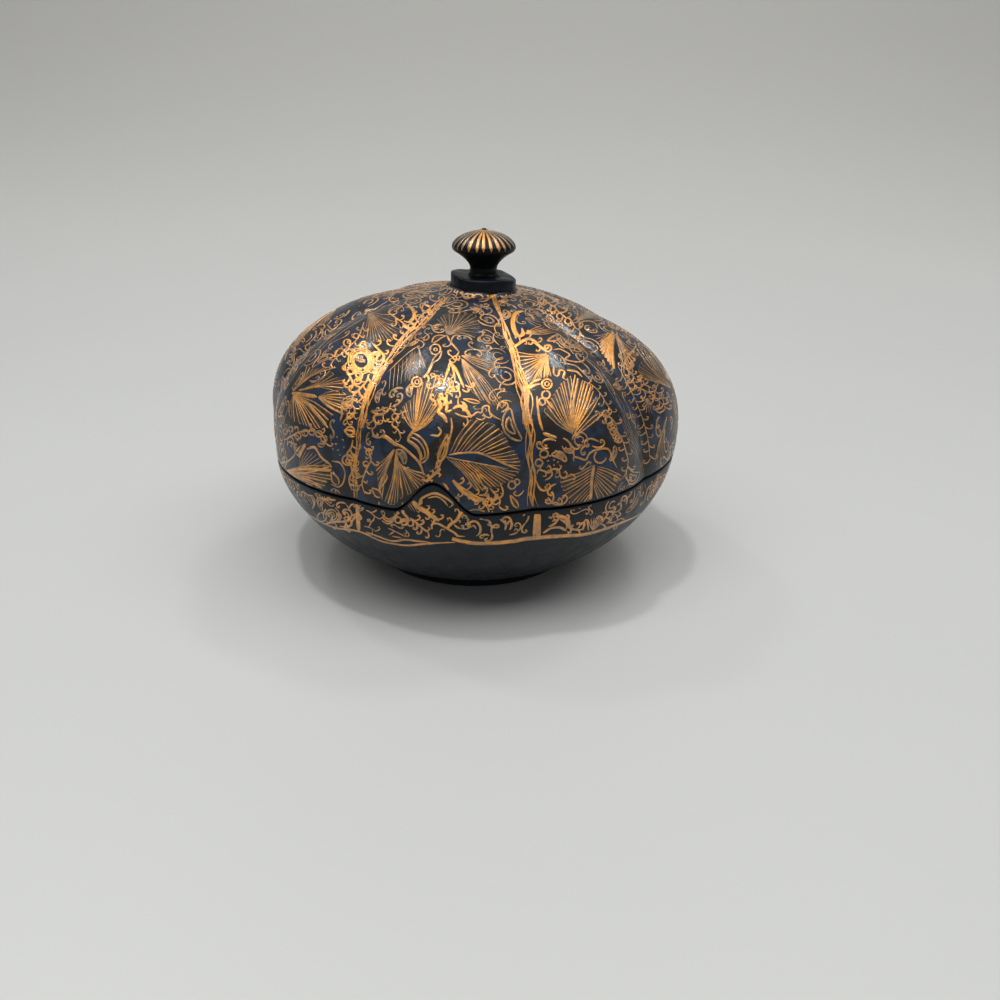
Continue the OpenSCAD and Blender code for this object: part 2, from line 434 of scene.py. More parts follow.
def lacquer(name, blue, brown, seed, depth=1.0, coat=0.44):
    """Dark lacquer with shares of midnight blue and of brown over slate.

    depth is how bright the colours are, beside the lid's own.
    """
    material, tree, shader = new_material(
        name, Coat_Weight=coat, Coat_Roughness=0.07, Coat_IOR=1.45, Specular_IOR_Level=0.12
    )
    slate, night, brown_black, dust = (
        tuple(c * depth for c in colour) for colour in (SLATE, NIGHT, BROWN, DUST)
    )
    patches = ramp(noise(tree, 190, detail=2, seed=seed), 0.47, 0.55, 0, blue)
    leaves = ramp(noise(tree, 140, detail=3, seed=seed + 3), 0.53, 0.59, 0, brown)
    specks = ramp(noise(tree, 1500, detail=2, seed=seed + 5), 0.62, 0.8, 0, 0.25)
    colour = blend(tree, patches, slate, night)
    colour = blend(tree, leaves, colour, brown_black)
    colour = blend(tree, specks, colour, dust)
    tree.links.new(colour, shader.inputs["Base Color"])
    rough = ramp(noise(tree, 260, detail=4, seed=seed + 1), 0.35, 0.7, 0.35, 0.55)
    tree.links.new(rough.socket, shader.inputs["Roughness"])
    grain = noise(tree, 700, detail=3, seed=seed + 2) * 0.75 + noise(tree, 2600, seed=seed) * 0.25
    bump(tree, shader, grain, GRAIN_DEPTH)
    return material


lid_lacquer = lacquer("lid_lacquer", 0.9, 0.8, 1.0)
bowl_lacquer = lacquer("bowl_lacquer", 0.25, 0.1, 2.0, depth=0.55, coat=0.3)
inside_lacquer = lacquer("inside_lacquer", 0.0, 0.9, 3.0, coat=0.2)
print("lacquers:", [m.name for m in (lid_lacquer, bowl_lacquer, inside_lacquer)])


# %% The lid
LID = {**SIZES, "Rays": 401, "Rings": 84}
DISC_EDGE, UNDER_DISC = 9.0, 8.0  # the crown swells to the first radius and is flat inside
SWELL, SWELL_LEFT, SWELL_DIP = 1.1, 0.45, 0.5  # its height, more to the left, less in valleys


def lid_tree():
    """The lid from its cut edge over the dome and the crown, and back along its inside."""
    tree, take = new_tree("lid shell", LID)
    s = {label: Field(tree, take[label]) for label in SIZES}
    rays, rings = take["Rays"], take["Rings"]

    def outside(turn, part):
        lift = s["Seam gap"] + EDGE
        return skin(turn, wall_angle(turn, part, lift, seat_angle, LACQUER, s), LACQUER, s)

    def edge(turn, part):
        inset, lift = rim(1 - part, s, EDGE)
        height = seam(turn, s) + s["Seam gap"] + lift
        return skin(turn, angle_at(height, inset, s), inset, s)

    def inside(turn, part):
        lift, wall = s["Seam gap"] + EDGE, s["Wall"]
        return skin(turn, wall_angle(turn, 1 - part, lift, ceiling_angle, wall, s), wall, s)

    def crown(outer, inner, x_outer, x_inner, swell_outer, swell_inner):
        """A ring of the crown, which swells up against the disc and dips in the valleys."""

        def place(turn, part):
            x, y, _ = round_axis(turn, part * (inner - outer) + outer, top)
            swell = SWELL - SWELL_LEFT * sine(turn * degree) - SWELL_DIP * toward_valley(turn, s)
            share = eased(part) * (swell_inner - swell_outer) + swell_outer
            return x + (part * (x_inner - x_outer) + x_outer), y, swell * share + top

        return place

    def bore(turn, part):
        x, y, z = round_axis(turn, part * 0 + HOLE_R, part * (ceiling_z - top) + top)
        return x + KNOB_X, y, z

    def vault(turn, part):
        """The ceiling, from the edge of the peg's hole to the last ring of the inside."""
        x, y, _ = round_axis(turn, part * (vault_r - HOLE_R) + HOLE_R, vault_z)
        return x + (1 - part) * KNOB_X, y, part * (vault_z - ceiling_z) + ceiling_z

    crown_r, top = ring_of(seat_angle, LACQUER)
    vault_r, vault_z = ring_of(ceiling_angle, SIZES["Wall"])
    parts = [
        sheet(tree, rays, rings, outside, lid_lacquer),
        sheet(tree, rays, 9, edge, inside_lacquer),
        sheet(tree, rays, 40, inside, inside_lacquer),
        sheet(tree, rays, 8, crown(crown_r, DISC_EDGE, 0.0, KNOB_X, 0, 1), lid_lacquer),
        sheet(tree, rays, 5, crown(DISC_EDGE, UNDER_DISC, KNOB_X, KNOB_X, 1, 0), lid_lacquer),
        sheet(tree, rays, 3, crown(UNDER_DISC, HOLE_R, KNOB_X, KNOB_X, 0, 0), lid_lacquer),
        sheet(tree, rays, 4, bore, inside_lacquer),
        sheet(tree, rays, 6, vault, inside_lacquer),
    ]
    finish_tree(tree, parts)
    return tree


lid_shell = run_tree(lid_tree(), "lid_shell", LID)


# %% The bowl
BOWL = {**SIZES, "Rays": 401, "Rings": 60}


def bowl_tree():
    """The bowl from under its foot up to its cut edge, and down its inside to the floor."""
    tree, take = new_tree("bowl shell", BOWL)
    s = {label: Field(tree, take[label]) for label in SIZES}
    rays, rings = take["Rays"], take["Rings"]
    floor_angle = float(angle_at(floor_z, SIZES["Wall"], SIZES))

    def outside(turn, part):
        return skin(turn, wall_angle(turn, 1 - part, -EDGE, -foot_angle, LACQUER, s), LACQUER, s)

    def edge(turn, part):
        inset, lift = rim(part, s, -EDGE)
        return skin(turn, angle_at(seam(turn, s) + lift, inset, s), inset, s)

    def inside(turn, part):
        wall = s["Wall"]
        return skin(turn, wall_angle(turn, part, -EDGE, floor_angle, wall, s), wall, s)

    def round_sheet(points):
        """A sheet whose section runs through points, each a radius and a height."""

        def place(turn, part):
            r, z = part * 0 + points[0][0], part * 0 + points[0][1]
            for i, (a, b) in enumerate(zip(points, points[1:])):
                step = smaller(larger(part * (len(points) - 1) - i, 0), 1)
                r, z = r + step * (b[0] - a[0]), z + step * (b[1] - a[1])
            return round_axis(turn, r, z)

        return place

    # The foot from its hollow outwards. The small steps round its two lower edges.
    out, within = FOOT_R - FOOT_TAPER, FOOT_R - FOOT_W
    foot = [
        (0, FOOT_HOLLOW),
        (within - 0.3, FOOT_HOLLOW),
        (within, FOOT_HOLLOW - 0.2),
        (within + 0.1, 0.15),
        (within + 0.3, 0),
        (out - 0.3, 0),
        (out - 0.05, 0.2),
        ring_of(-foot_angle, LACQUER),
    ]
    floor = [ring_of(floor_angle, SIZES["Wall"]), (0, floor_z)]
    parts = [
        sheet(tree, rays, 8, round_sheet(foot), bowl_lacquer),
        sheet(tree, rays, rings, outside, bowl_lacquer),
        sheet(tree, rays, 9, edge, inside_lacquer),
        sheet(tree, rays, 40, inside, inside_lacquer),
        sheet(tree, rays, 5, round_sheet(floor), inside_lacquer),
    ]
    finish_tree(tree, parts)
    return tree


bowl_shell = run_tree(bowl_tree(), "bowl_shell", BOWL)

# %% [markdown]
# ## Where the camera stands
# The camera looks down at the box from a little above, with the picture leaning slightly.
# A lens of 36 mm on a 36 mm sensor makes one picture width as wide as it is far away.

# %% The camera
eye = Vector((0, -0.273555, 0.134210))
to_right = Vector((0.99959, -0.01972, 0.02076))
to_top = Vector((-0.01103, 0.40393, 0.91472))
to_back = Vector((-0.02642, -0.91458, 0.40355))
lens = bpy.data.cameras.new("camera")
lens.lens, lens.sensor_width = 36, 36
lens.clip_start, lens.clip_end = 0.01, 20
camera = bpy.data.objects.new("camera", lens)
bpy.context.scene.collection.objects.link(camera)
bpy.context.scene.camera = camera
camera.matrix_world = Matrix((to_right, to_top, to_back)).transposed().to_4x4()
camera.location = eye
print("camera at", [round(c, 3) for c in eye])

# %% [markdown]
# ## The disc and the knob
# The disc on the crown was cut by hand from pasted board, so its edge is a row of uneven
# flats, worn low on the right. The knob is turned wood. A lathe piece is a rule as well, so
# the knob is made of sheets like the shells, and the disc as one mesh of rings.

# %% The turned knob
# Radii and heights in mm. The knob's heights are counted from the top of the disc.
DISC_H, RIM_IN, RIM_Z, RIM_R, TIP_R = 3.8, 7.1, 7.6, 1.5, 0.7
NECK_R, NECK_H, NECK_FOOT, PEG_R, PEG_SHOW = 3.65, 1.8, 4.7, 2.0, 0.8
CAP_R, CAP_TOP, CAP_RISE = 8.261, 12.05, 3.5
UNDER_OUT, UNDER_UP, UNDER_BEND = 4.414, 4.651, 1.8  # the underside runs out and up to the rim
RIM_LOW, RIM_HIGH = -50, 39.3  # degrees on the round rim, from the underside to the dome
CAP_EVEN, CAP_TURN = 0.55, 4.64  # the dome's even share, and how sharply its shoulder turns
disc_top = seat_z + DISC_H


def cap_z(r):
    """Height of the cap's dome at a radius, from its shoulder to its tip."""
    t = (r - TIP_R) / (CAP_R - TIP_R)
    fall = CAP_EVEN * t + (1 - CAP_EVEN) * power(t, CAP_TURN)
    return disc_top + CAP_TOP - CAP_RISE * fall


def rim_at(turn):
    """Radius and height on the cap's round rim, at degrees above its widest line."""
    return RIM_IN + RIM_R * cosine(turn * degree), disc_top + RIM_Z + RIM_R * sine(turn * degree)


def knob_tree(finish):
    """The knob from the end of its peg up to its tip, as sheets turned on a lathe."""
    tree, take = new_tree("knob", {"Rays": 129})
    rays = take["Rays"]
    peg_z, quarter = ceiling_z - PEG_SHOW, math.pi / 2

    def lathe(radius, height):
        def place(turn, part):
            x, y, z = round_axis(turn, radius(part), height(part))
            return x + KNOB_X, y, z

        return place

    def on_rim(part):
        return rim_at(part * (RIM_HIGH - RIM_LOW) + RIM_LOW)

    def dome_r(part):
        return CAP_R - (CAP_R - TIP_R) * part

    # Each shape is a number of rings, and their radius and height for a share p of the way.
    shapes = [
        (3, lambda p: p * PEG_R, lambda p: p * 0 + peg_z),
        (8, lambda p: p * 0 + PEG_R, lambda p: p * (disc_top - peg_z) + peg_z),
        (3, lambda p: p * (NECK_FOOT - PEG_R) + PEG_R, lambda p: p * 0 + disc_top),
        (
            14,
            lambda p: NECK_FOOT - sine(p * quarter) * (NECK_FOOT - NECK_R),
            lambda p: disc_top + NECK_H * (1 - cosine(p * quarter)),
        ),
        (
            20,
            lambda p: NECK_R + UNDER_OUT * power(p, UNDER_BEND),
            lambda p: disc_top + NECK_H + UNDER_UP * p,
        ),
        (18, lambda p: on_rim(p)[0], lambda p: on_rim(p)[1]),
        (36, dome_r, lambda p: cap_z(dome_r(p))),
        (
            6,
            lambda p: TIP_R * cosine(p * quarter),
            lambda p: cap_z(TIP_R) + sine(p * quarter) * TIP_R / 2,
        ),
    ]
    finish_tree(tree, [sheet(tree, rays, n, lathe(r, z), finish) for n, r, z in shapes])
    return tree


knob_lacquer = lacquer("knob_lacquer", 0.1, 0.2, 4.0, depth=0.2, coat=0.12)
knob = run_tree(knob_tree(knob_lacquer), "turned_knob", {"Rays": 129})


# %% The trimmed disc
# The disc's radius, how much is trimmed off it at most, the radius that wear brings it
# nearer to, and the number of its flats.
DISC_R, DISC_TRIM, EVEN_R, FLATS = 9.0, 0.5, 9.1, 13
LEFT_UP, RIGHT_DOWN = 0.18, 0.25  # how the top tilts beside the knob's foot, in mm per mm
# Its rings of points: how far each lies outside the edge, and at what share of the height.
# The first and the last ring are the edge of the peg's hole.
DISC_RINGS = [
    (None, 0.0), (0, 0.0), (0, 0.5), (0, 0.9),
    (-0.12, 0.965), (-0.4, 1.0), (-2.0, 1.0), (None, 1.0),
]


def trimmed_disc(finish):
    """The disc as one mesh of rings, with flats that are softened by wear."""
    corners = []
    for i in range(FLATS):
        r = DISC_R - DISC_TRIM * (0.5 + 0.5 * math.sin(i * i * 67 * degree))
        corners.append((r * math.cos(math.tau * i / FLATS), r * math.sin(math.tau * i / FLATS)))
    outline = []
    for i, a in enumerate(corners):
        b = corners[(i + 1) % FLATS]
        outline += [np.array(a) + (np.array(b) - a) * k / 8 for k in range(8)]
    dice = random.Random(8)
    rough = [dice.uniform(-0.06, 0.0) for _ in outline]
    points = []
    for outwards, up in DISC_RINGS:
        for k, (x, y) in enumerate(outline):
            r = math.hypot(x, y)
            worn = 0.4 * r + 0.6 * EVEN_R
            if outwards is None:
                want = HOLE_R
            else:
                want = worn + outwards + rough[k] * (up not in (0, 1))
            left, right = max(0, -x * want / r - NECK_FOOT), max(0, x * want / r - NECK_FOOT)
            tilt = left * LEFT_UP - right * RIGHT_DOWN
            z = DISC_H * up + tilt * (up > 0.6)
            points.append((KNOB_X + x / r * want, y / r * want, seat_z + z))
    n, rings = len(outline), len(DISC_RINGS)
    faces = []
    for a in range(rings):
        b = (a + 1) % rings
        for k in range(n):
            beside = (k + 1) % n
            faces.append((a * n + k, a * n + beside, b * n + beside, b * n + k))
    mesh = bpy.data.meshes.new("trimmed_disc")
    mesh.from_pydata([tuple(c * MM for c in p) for p in points], [], faces)
    mesh.polygons.foreach_set("use_smooth", [True] * len(faces))
    mesh.materials.append(finish)
    disc = bpy.data.objects.new("trimmed_disc", mesh)
    bpy.context.scene.collection.objects.link(disc)
    return disc


disc_lacquer = lacquer("disc_lacquer", 0.5, 0.3, 5.0, depth=0.3, coat=0.15)
disc = trimmed_disc(disc_lacquer)
print("disc:", len(disc.data.polygons), "faces")

# %% [markdown]
# ## Gold
# The gold is brushed on as fine raised lines, so each stroke is real geometry: a flat bead
# that lies on the shell. A painter works by eye from one side of the lobe to the other, and
# the same is done here: a stroke's points are given where the camera sees them, and a ray
# through the camera finds the shell behind each one. Geometry Nodes then do what a brush
# does along each stroke: even it out, press it to the surface and give it its thickness.

# %% Gold paint and leaf glaze
# The dull gold stands for real wear in patches and also for painted shade, and the bright gold
# partly for a painted highlight: strokes where the lamps' highlights fall are given high tones, and
# strokes on parts turned from the light low ones.
GOLD_WORN_AND_SHADED, GOLD_BRIGHT, GOLD_FOOT_SHADE = (0.25, 0.165, 0.09), (0.84, 0.35, 0.045), (0.010, 0.007, 0.005)
GLAZE_DARK, GLAZE_LIGHT = (0.022, 0.016, 0.011), (0.070, 0.050, 0.032)
BRUSH_MARKS = 0.00015  # the depth of the gold's unevenness, in metres


def stored(tree, name):
    """A value that the brush stored on its strokes."""
    return Field(tree, add(tree, "ShaderNodeAttribute", attribute_name=name).outputs["Fac"])


def gold_paint():
    """Gold by each stroke's tone, worn in patches, with a painted shade low on each bead's sides.
    """
    material, tree, shader = new_material("gold_paint", Coat_Weight=1.0, Coat_Roughness=0.07)
    tone, rise = stored(tree, "tone"), stored(tree, "rise")
    worn = ramp(noise(tree, 500, detail=5, seed=11), 0.35, 0.65, -0.4, 0.35)
    share = smaller(larger(tone + worn, 0), 1)
    colour = blend(tree, share, GOLD_WORN_AND_SHADED, GOLD_BRIGHT)
    # The bead's low sides take a near-black colour: a painted shade at the foot of each raised
    # line.
    top = ramp(rise, -0.1, 0.25)
    colour = blend(tree, top, GOLD_FOOT_SHADE, colour)
    tree.links.new(colour, shader.inputs["Base Color"])
    tree.links.new((top * 0.6).socket, shader.inputs["Metallic"])
    rough = ramp(noise(tree, 1100, detail=3, seed=12), 0.3, 0.7, 0.35, 0.6)
    tree.links.new(rough.socket, shader.inputs["Roughness"])
    bump(tree, shader, noise(tree, 1800, detail=4, seed=13), BRUSH_MARKS)
    return material


def brown_glaze():
    """Thin brown paint that fills the leaves between their gold lines."""
    material, tree, shader = new_material(
        "leaf_glaze", Coat_Weight=0.4, Coat_Roughness=0.15, Specular_IOR_Level=0.2
    )
    share = ramp(noise(tree, 500, detail=3, seed=14), 0.35, 0.65)
    colour = blend(tree, share, GLAZE_DARK, GLAZE_LIGHT)
    tree.links.new(colour, shader.inputs["Base Color"])
    rough = ramp(noise(tree, 900, seed=15), 0.3, 0.7, 0.35, 0.55)
    tree.links.new(rough.socket, shader.inputs["Roughness"])
    return material


gilding = gold_paint()
leaf_glaze = brown_glaze()
print("paints:", gilding.name, "and", leaf_glaze.name)


# %% The brush
def brush_tree():
    """Flat beads of paint along curves, pressed to a surface; their low sides get painted shade."""
    inputs = {"Strokes": None, "Surface": None, "Paint": gilding, "Height": 0.0001, "Step": 0.0007}
    tree, take = new_tree("brush", inputs)
    strokes, surface = (
        add(tree, "GeometryNodeObjectInfo", {"Object": take[name]}).outputs["Geometry"]
        for name in ("Strokes", "Surface")
    )
    here = tree.nodes.new("GeometryNodeInputPosition").outputs[0]
    facing = tree.nodes.new("GeometryNodeInputNormal").outputs[0]

    def stored_as(name, value, geometry):
        """Keeps a value with the points, for the paint to read."""
        note = {"Geometry": geometry, "Name": name, "Value": value}
        return add(tree, "GeometryNodeStoreNamedAttribute", note).outputs[0]

    def pressed(geometry, rise):
        """Moves every point to the surface, and off it again by rise."""
        near = add(tree, "GeometryNodeProximity", {"Target": surface, "Source Position": here})
        asked = {"Mesh": surface, "Value": facing, "Sample Position": here}
        found = add(tree, "GeometryNodeSampleNearestSurface", asked, data_type="FLOAT_VECTOR")
        normal = found.outputs["Value"]
        lift = add(tree, "ShaderNodeVectorMath", {0: normal, "Scale": rise}, operation="SCALE")
        on_it = {0: near.outputs["Position"], 1: lift.outputs[0]}
        spot = add(tree, "ShaderNodeVectorMath", on_it).outputs[0]
        moved = add(tree, "GeometryNodeSetPosition", {"Geometry": geometry, "Position": spot})
        return moved.outputs[0], normal

    spaced = {"Curve": strokes, "Length": take["Step"]}
    even = add(tree, "GeometryNodeResampleCurve", spaced, mode="LENGTH").outputs[0]
    tone = add(tree, "GeometryNodeInputCurveTilt").outputs[0]
    toned = stored_as("tone", tone, even)
    flat = add(tree, "GeometryNodeSetCurveTilt", {"Curve": toned, "Tilt": 0.0}).outputs[0]
    laid, normal = pressed(flat, 0.0)
    turned = add(tree, "GeometryNodeSetCurveNormal", {"Curve": laid, "Normal": normal}, mode="FREE")

    # The bead's section is wide at its foot and narrow on top, in half-widths of the stroke.
    low_bar = {"Bottom Width": 3.6, "Top Width": 1.5, "Height": 1.0, "Offset": 0.0}
    bar = add(tree, "GeometryNodeCurvePrimitiveQuadrilateral", low_bar, mode="TRAPEZOID").outputs[0]
    up_bar = add(tree, "ShaderNodeSeparateXYZ", {0: here}).outputs["Y"]
    profile = stored_as("rise", up_bar, bar)
    # The profile's X follows the curve's normal, so the bar is turned to stand on the shell.
    upright = {"Geometry": profile, "Rotation": (0, 0, -math.pi / 2)}
    standing = add(tree, "GeometryNodeTransform", upright).outputs[0]
    radius = tree.nodes.new("GeometryNodeInputRadius").outputs[0]
    sweep = {"Profile Curve": standing, "Scale": radius, "Fill Caps": True}
    bead = add(tree, "GeometryNodeCurveToMesh", {"Curve": turned.outputs[0], **sweep})
    up = Field(tree, add(tree, "GeometryNodeInputNamedAttribute", {"Name": "rise"}).outputs[0])
    laid, _ = pressed(bead.outputs[0], (up + 0.3) * Field(tree, take["Height"]))
    smooth = add(tree, "GeometryNodeSetShadeSmooth", {0: laid}).outputs[0]
    done = add(tree, "GeometryNodeSetMaterial", {0: smooth, "Material": take["Paint"]})
    close_tree(tree, done.outputs[0])
    return tree


brush = brush_tree()


def brush_on(name, strokes, surface, height, step, paint):
    """A piece made of strokes, each a list of points in mm, half-widths in mm and a tone."""
    data = bpy.data.curves.new(name, "CURVE")
    data.dimensions = "3D"
    for points, widths, tone in strokes:
        spline = data.splines.new("POLY")
        spline.points.add(len(points) - 1)
        flat = np.c_[np.asarray(points) * MM, np.ones(len(points))]
        spline.points.foreach_set("co", flat.ravel())
        spline.points.foreach_set("radius", np.asarray(widths) * MM)
        spline.points.foreach_set("tilt", [tone] * len(points))
    curves = bpy.data.objects.new(name + "_strokes", data)
    bpy.context.scene.collection.objects.link(curves)
    lengths = {"Height": height * MM, "Step": step * MM}
    objects = {"Strokes": curves, "Surface": surface, "Paint": paint}
    piece = run_tree(brush, name, {**objects, **lengths})
    bpy.data.objects.remove(curves)
    print(f"{name}: {len(strokes)} strokes")
    return piece


# %% From the picture to the shell
PICTURE = 1000  # how wide and high the picture is, in its own points
PX = 0.286  # how wide one picture point is on the box, in mm
CELL = 0.8  # paint is remembered by cells of this size, in mm
# How near paint may come to the seam, to the knob's middle and to the foot, in mm.
SEAM_CLEAR, KNOB_CLEAR, FOOT_CLEAR = 0.45, 9.3, 1
# How broad the strokes of each layer are laid, for the width they are given.
BROAD = {
    "leaf_fans": 0.52,
    "leaf_glaze": 1.2,
    "scrollwork": 0.84,
    "valley_lines": 0.66,
    "border": 1.1,
}
dice = random.Random(21)
gold = {}  # strokes, by part and layer
taken = set()  # cells with paint in them


def shell_tree(shell):
    """A shell in a form that finds quickly where a ray meets it."""
    mesh = shell.data
    return BVHTree.FromPolygons([v.co for v in mesh.vertices], [p.vertices for p in mesh.polygons])


shells = {"lid": shell_tree(lid_shell), "bowl": shell_tree(bowl_shell)}


def seen_at(x, y):
    """The part and the place on it, in mm, that the camera sees at a picture point."""
    ray = (to_right * (x - PICTURE / 2) + to_top * (PICTURE / 2 - y)) / PICTURE - to_back
    hits = []
    for part, tree in shells.items():
        spot, _, _, far = tree.ray_cast(eye, ray.normalized())
        if spot:
            hits.append((far, part, spot / MM))
    return min(hits)[1:] if hits else (None, None)


def smooth_path(points, step):
    """A smooth path through points, as points about a step apart."""
    points = np.asarray(points, float)
    if len(points) < 3:
        count = max(2, int(np.hypot(*(points[-1] - points[0])) / step))
        return points[0] + (points[-1] - points[0]) * np.linspace(0, 1, count)[:, None]
    ends = np.r_[[2 * points[0] - points[1]], points, [2 * points[-1] - points[-2]]]
    path = []
    for a, b, c, d in zip(ends, ends[1:], ends[2:], ends[3:]):
        count = max(1, round(float(np.hypot(*(c - b))) / step))
        t = np.arange(count)[:, None] / count
        bend = 2 * b + (c - a) * t + (2 * a - 5 * b + 4 * c - d) * t**2
        path.append(0.5 * (bend + (3 * b - a - 3 * c + d) * t**3))
    return np.r_[np.concatenate(path), [points[-1]]]


def cut_to_part(part, points):
    """The runs of points that lie on the part, clear of its cut edge and the crown's disc."""
    turn = np.degrees(np.arctan2(points[:, 0], -points[:, 1]))
    edge = seam(turn, SIZES)
    if part == "lid":
        far = np.hypot(points[:, 0] - KNOB_X, points[:, 1])
        keep = (points[:, 2] > edge + SIZES["Seam gap"] + SEAM_CLEAR) & (far > KNOB_CLEAR)
    else:
        keep = (points[:, 2] < edge - SEAM_CLEAR) & (points[:, 2] > FOOT_H + FOOT_CLEAR)
    runs, run = [], []
    for k, ok in enumerate(keep):
        if ok:
            run.append(k)
        if run and (not ok or k == len(keep) - 1):
            runs.append(run)
            run = []
    return [r for r in runs if len(r) > 1]


def cells(points):
    """The cells that points lie in."""
    return [tuple(cell) for cell in np.floor(np.asarray(points) / CELL).astype(int).tolist()]


def keep_stroke(part, layer, points, half, tone):
    """Files a stroke's runs on the part, and remembers where paint lies."""
    for run in cut_to_part(part, points):
        gold.setdefault((part, layer), []).append((points[run], half[run], tone))
        if layer != "leaf_glaze":
            taken.update(cells(points[run]))


def tapered(count, width, thin):
    """Half-widths along a stroke, which starts and ends at a share of its width.

    It grows to the full width within a fifth of its length at most.
    """
    share = np.linspace(0, 1, count)
    return width / 2 * np.minimum(1, np.minimum(thin[0] + share * 5, thin[1] + (1 - share) * 5))


def stroke(layer, points, width=1.0, tone=0.5, thin=(0.5, 0.3), shake=0.06):
    """One brush stroke through picture points, thinner at its two ends."""
    path = smooth_path(points, 1.5)
    path = path + np.array([[dice.gauss(0, shake), dice.gauss(0, shake)] for _ in path])
    found = [seen_at(x, y) for x, y in path]
    half = tapered(len(path), width * PX * BROAD[layer], thin)
    for part in ("lid", "bowl"):
        places = [k for k, (name, _) in enumerate(found) if name == part]
        if len(places) > 1:
            keep_stroke(part, layer, np.array([found[k][1] for k in places]), half[places], tone)


def tell(what):
    """Prints how many strokes lie on the shells by now."""
    print(f"{what} done, {sum(len(strokes) for strokes in gold.values())} strokes so far")


print("the camera sees at (440, 400):", seen_at(440, 400))

# %% [markdown]
# ## The painter's hand
# A few figures make nearly all of the painting: a fan of slim leaves with a brown glaze in
# them, a curl, a ring, a vine with curls on both sides and a bundle of lines for a valley.
# Each is a short function, so that the list of what is painted where stays short as well.


# %% The painter's figures
def along(points, share):
    """The point at a share of the way along a row of points."""
    points = np.asarray(points, float)
    k = min(share, 0.99999) * (len(points) - 1)  # never quite the last point, which has no next
    i = int(k)
    return points[i] + (points[i + 1] - points[i]) * (k - i)


def leaf(layer, root, tip, fat, width, tone, bend=0.0):
    """A slim glazed leaf, drawn as one loop from its root round its tip."""
    root, tip = np.asarray(root, float), np.asarray(tip, float)
    way = tip - root
    side = np.array([-way[1], way[0]]) / (np.hypot(*way) + 1e-6)
    arch = side * bend * np.hypot(*way)
    spine = [root + way * t + arch * 4 * t * (1 - t) for t in (0.3, 0.65, 0.9)]
    left = [p + side * fat * w for p, w in zip(spine, (0.6, 1, 0.6))]
    right = [p - side * fat * w for p, w in zip(spine, (0.6, 1, 0.6))]
    stroke("leaf_glaze", [root, *spine, tip], fat * 2, 0.5, (0.4, 0.4))
    stroke(layer, [root, *left, tip + side * fat * 0.15], width, tone)
    stroke(layer, [tip - side * fat * 0.15, *right[::-1], root], width, tone, thin=(0.3, 0.5))


def fan(midrib, tips, leaves, width=1.1, tone=0.5, fat=0.95, bend=0.05, reach=0.5, rib=0.0):
    """Lines from a point or a midrib to tips along a row, with brown glaze between them."""
    midrib = np.asarray(midrib, float).reshape(-1, 2)
    if rib:
        stroke("leaf_fans", midrib, rib, tone + 0.1, thin=(0.6, 0.25))
    spines = []
    for k in range(leaves + 1):
        share = k / leaves
        tip = along(tips, share) + np.array([dice.gauss(0, 0.4), dice.gauss(0, 0.4)])
        foot = midrib[0] if len(midrib) == 1 else along(midrib, share * reach)
        side = np.array([foot[1] - tip[1], tip[0] - foot[0]]) * bend * (2 * share - 1)
        spines.append(np.array([foot + (tip - foot) * 0.05, (foot + tip) / 2 + side, tip]))
    for a, b in zip(spines, spines[1:]):
        middle = (a + b) / 2
        middle[0] += (middle[1] - middle[0]) * 0.2
        gap = float(np.hypot(*(a[2] - b[2])))
        stroke("leaf_glaze", middle, gap * 0.5, 0.5, (0.2, 0.6))
    for k, spine in enumerate(spines):
        thick = width * fat * (dice.uniform(1.4, 1.7) if k % 4 == 1 else dice.uniform(0.85, 1.15))
        stroke("leaf_fans", spine, thick, tone + dice.uniform(-0.2, 0.2), thin=(0.6, 0.7))
        if dice.random() < 0.4:
            hook = spine[2] + (spine[2] - spine[1]) * 0.04
            turned = (spines[k - 1] if k else spines[1])[2] * 0.5 + spine[2] * 0.5
            stroke("leaf_fans", [spine[2], hook, turned], width, tone, thin=(0.7, 0.5))


def rays(apex, tips, count, width=0.9, tone=0.5, bend=0.05, gap=0.06):
    """Single lines from one apex to tips along a row."""
    apex = np.asarray(apex, float)
    for k in range(count):
        share = k / (count - 1)
        tip = along(tips, share)
        root = apex + (tip - apex) * gap
        side = np.array([-(tip - root)[1], (tip - root)[0]]) * bend * (2 * share - 1)
        stroke(
            "leaf_fans",
            [root, (root + tip) / 2 + side, tip],
            width, tone + dice.uniform(-0.1, 0.1),
        )


def rolled(size, heading, hand, steps=11):
    """Points of a hook that runs on at a heading and rolls in on itself.

    Each step is shorter than the one before and turns more.
    """
    x = y = 0.0
    points = [(x, y)]
    angle = heading * degree
    for k in range(steps):
        move = size * (0.42 - 0.026 * k)
        x, y = x + math.cos(angle) * move, y - math.sin(angle) * move
        points.append((x, y))
        angle += hand * (12 + 6.5 * k) * degree
    return np.array(points)


def curl(x, y, size, heading, hand=1, width=1.3, tone=0.6, layer="scrollwork"):
    """A hook that starts at a point, runs on at a heading and rolls in."""
    points = rolled(size * 1.15, heading, hand) + (x, y)
    stroke(layer, points, width, tone, thin=(0.4, 0.6), shake=0.04)


def ring(x, y, r, width=1.3, tone=0.6, layer="scrollwork", span=350):
    """A ring, or an arc that opens where it starts."""
    turn = dice.uniform(0, 360)
    turns = np.linspace(turn, turn + span, 13)
    points = [(x + r * math.cos(a * degree), y + r * math.sin(a * degree)) for a in turns]
    stroke(layer, points, width, tone, thin=(0.9, 0.9))


def dot(x, y, size=1.7, tone=0.4):
    """A short dab."""
    lean = dice.uniform(0, math.tau)
    dx, dy = math.cos(lean) * size * 0.6, math.sin(lean) * size * 0.6
    stroke("scrollwork", [(x - dx, y - dy), (x + dx, y + dy)], size, tone, thin=(0.6, 0.6), shake=0)


def line(points, width=1.3, tone=0.6, layer="scrollwork", **more):
    """A plain line through points."""
    stroke(layer, points, width, tone, **more)


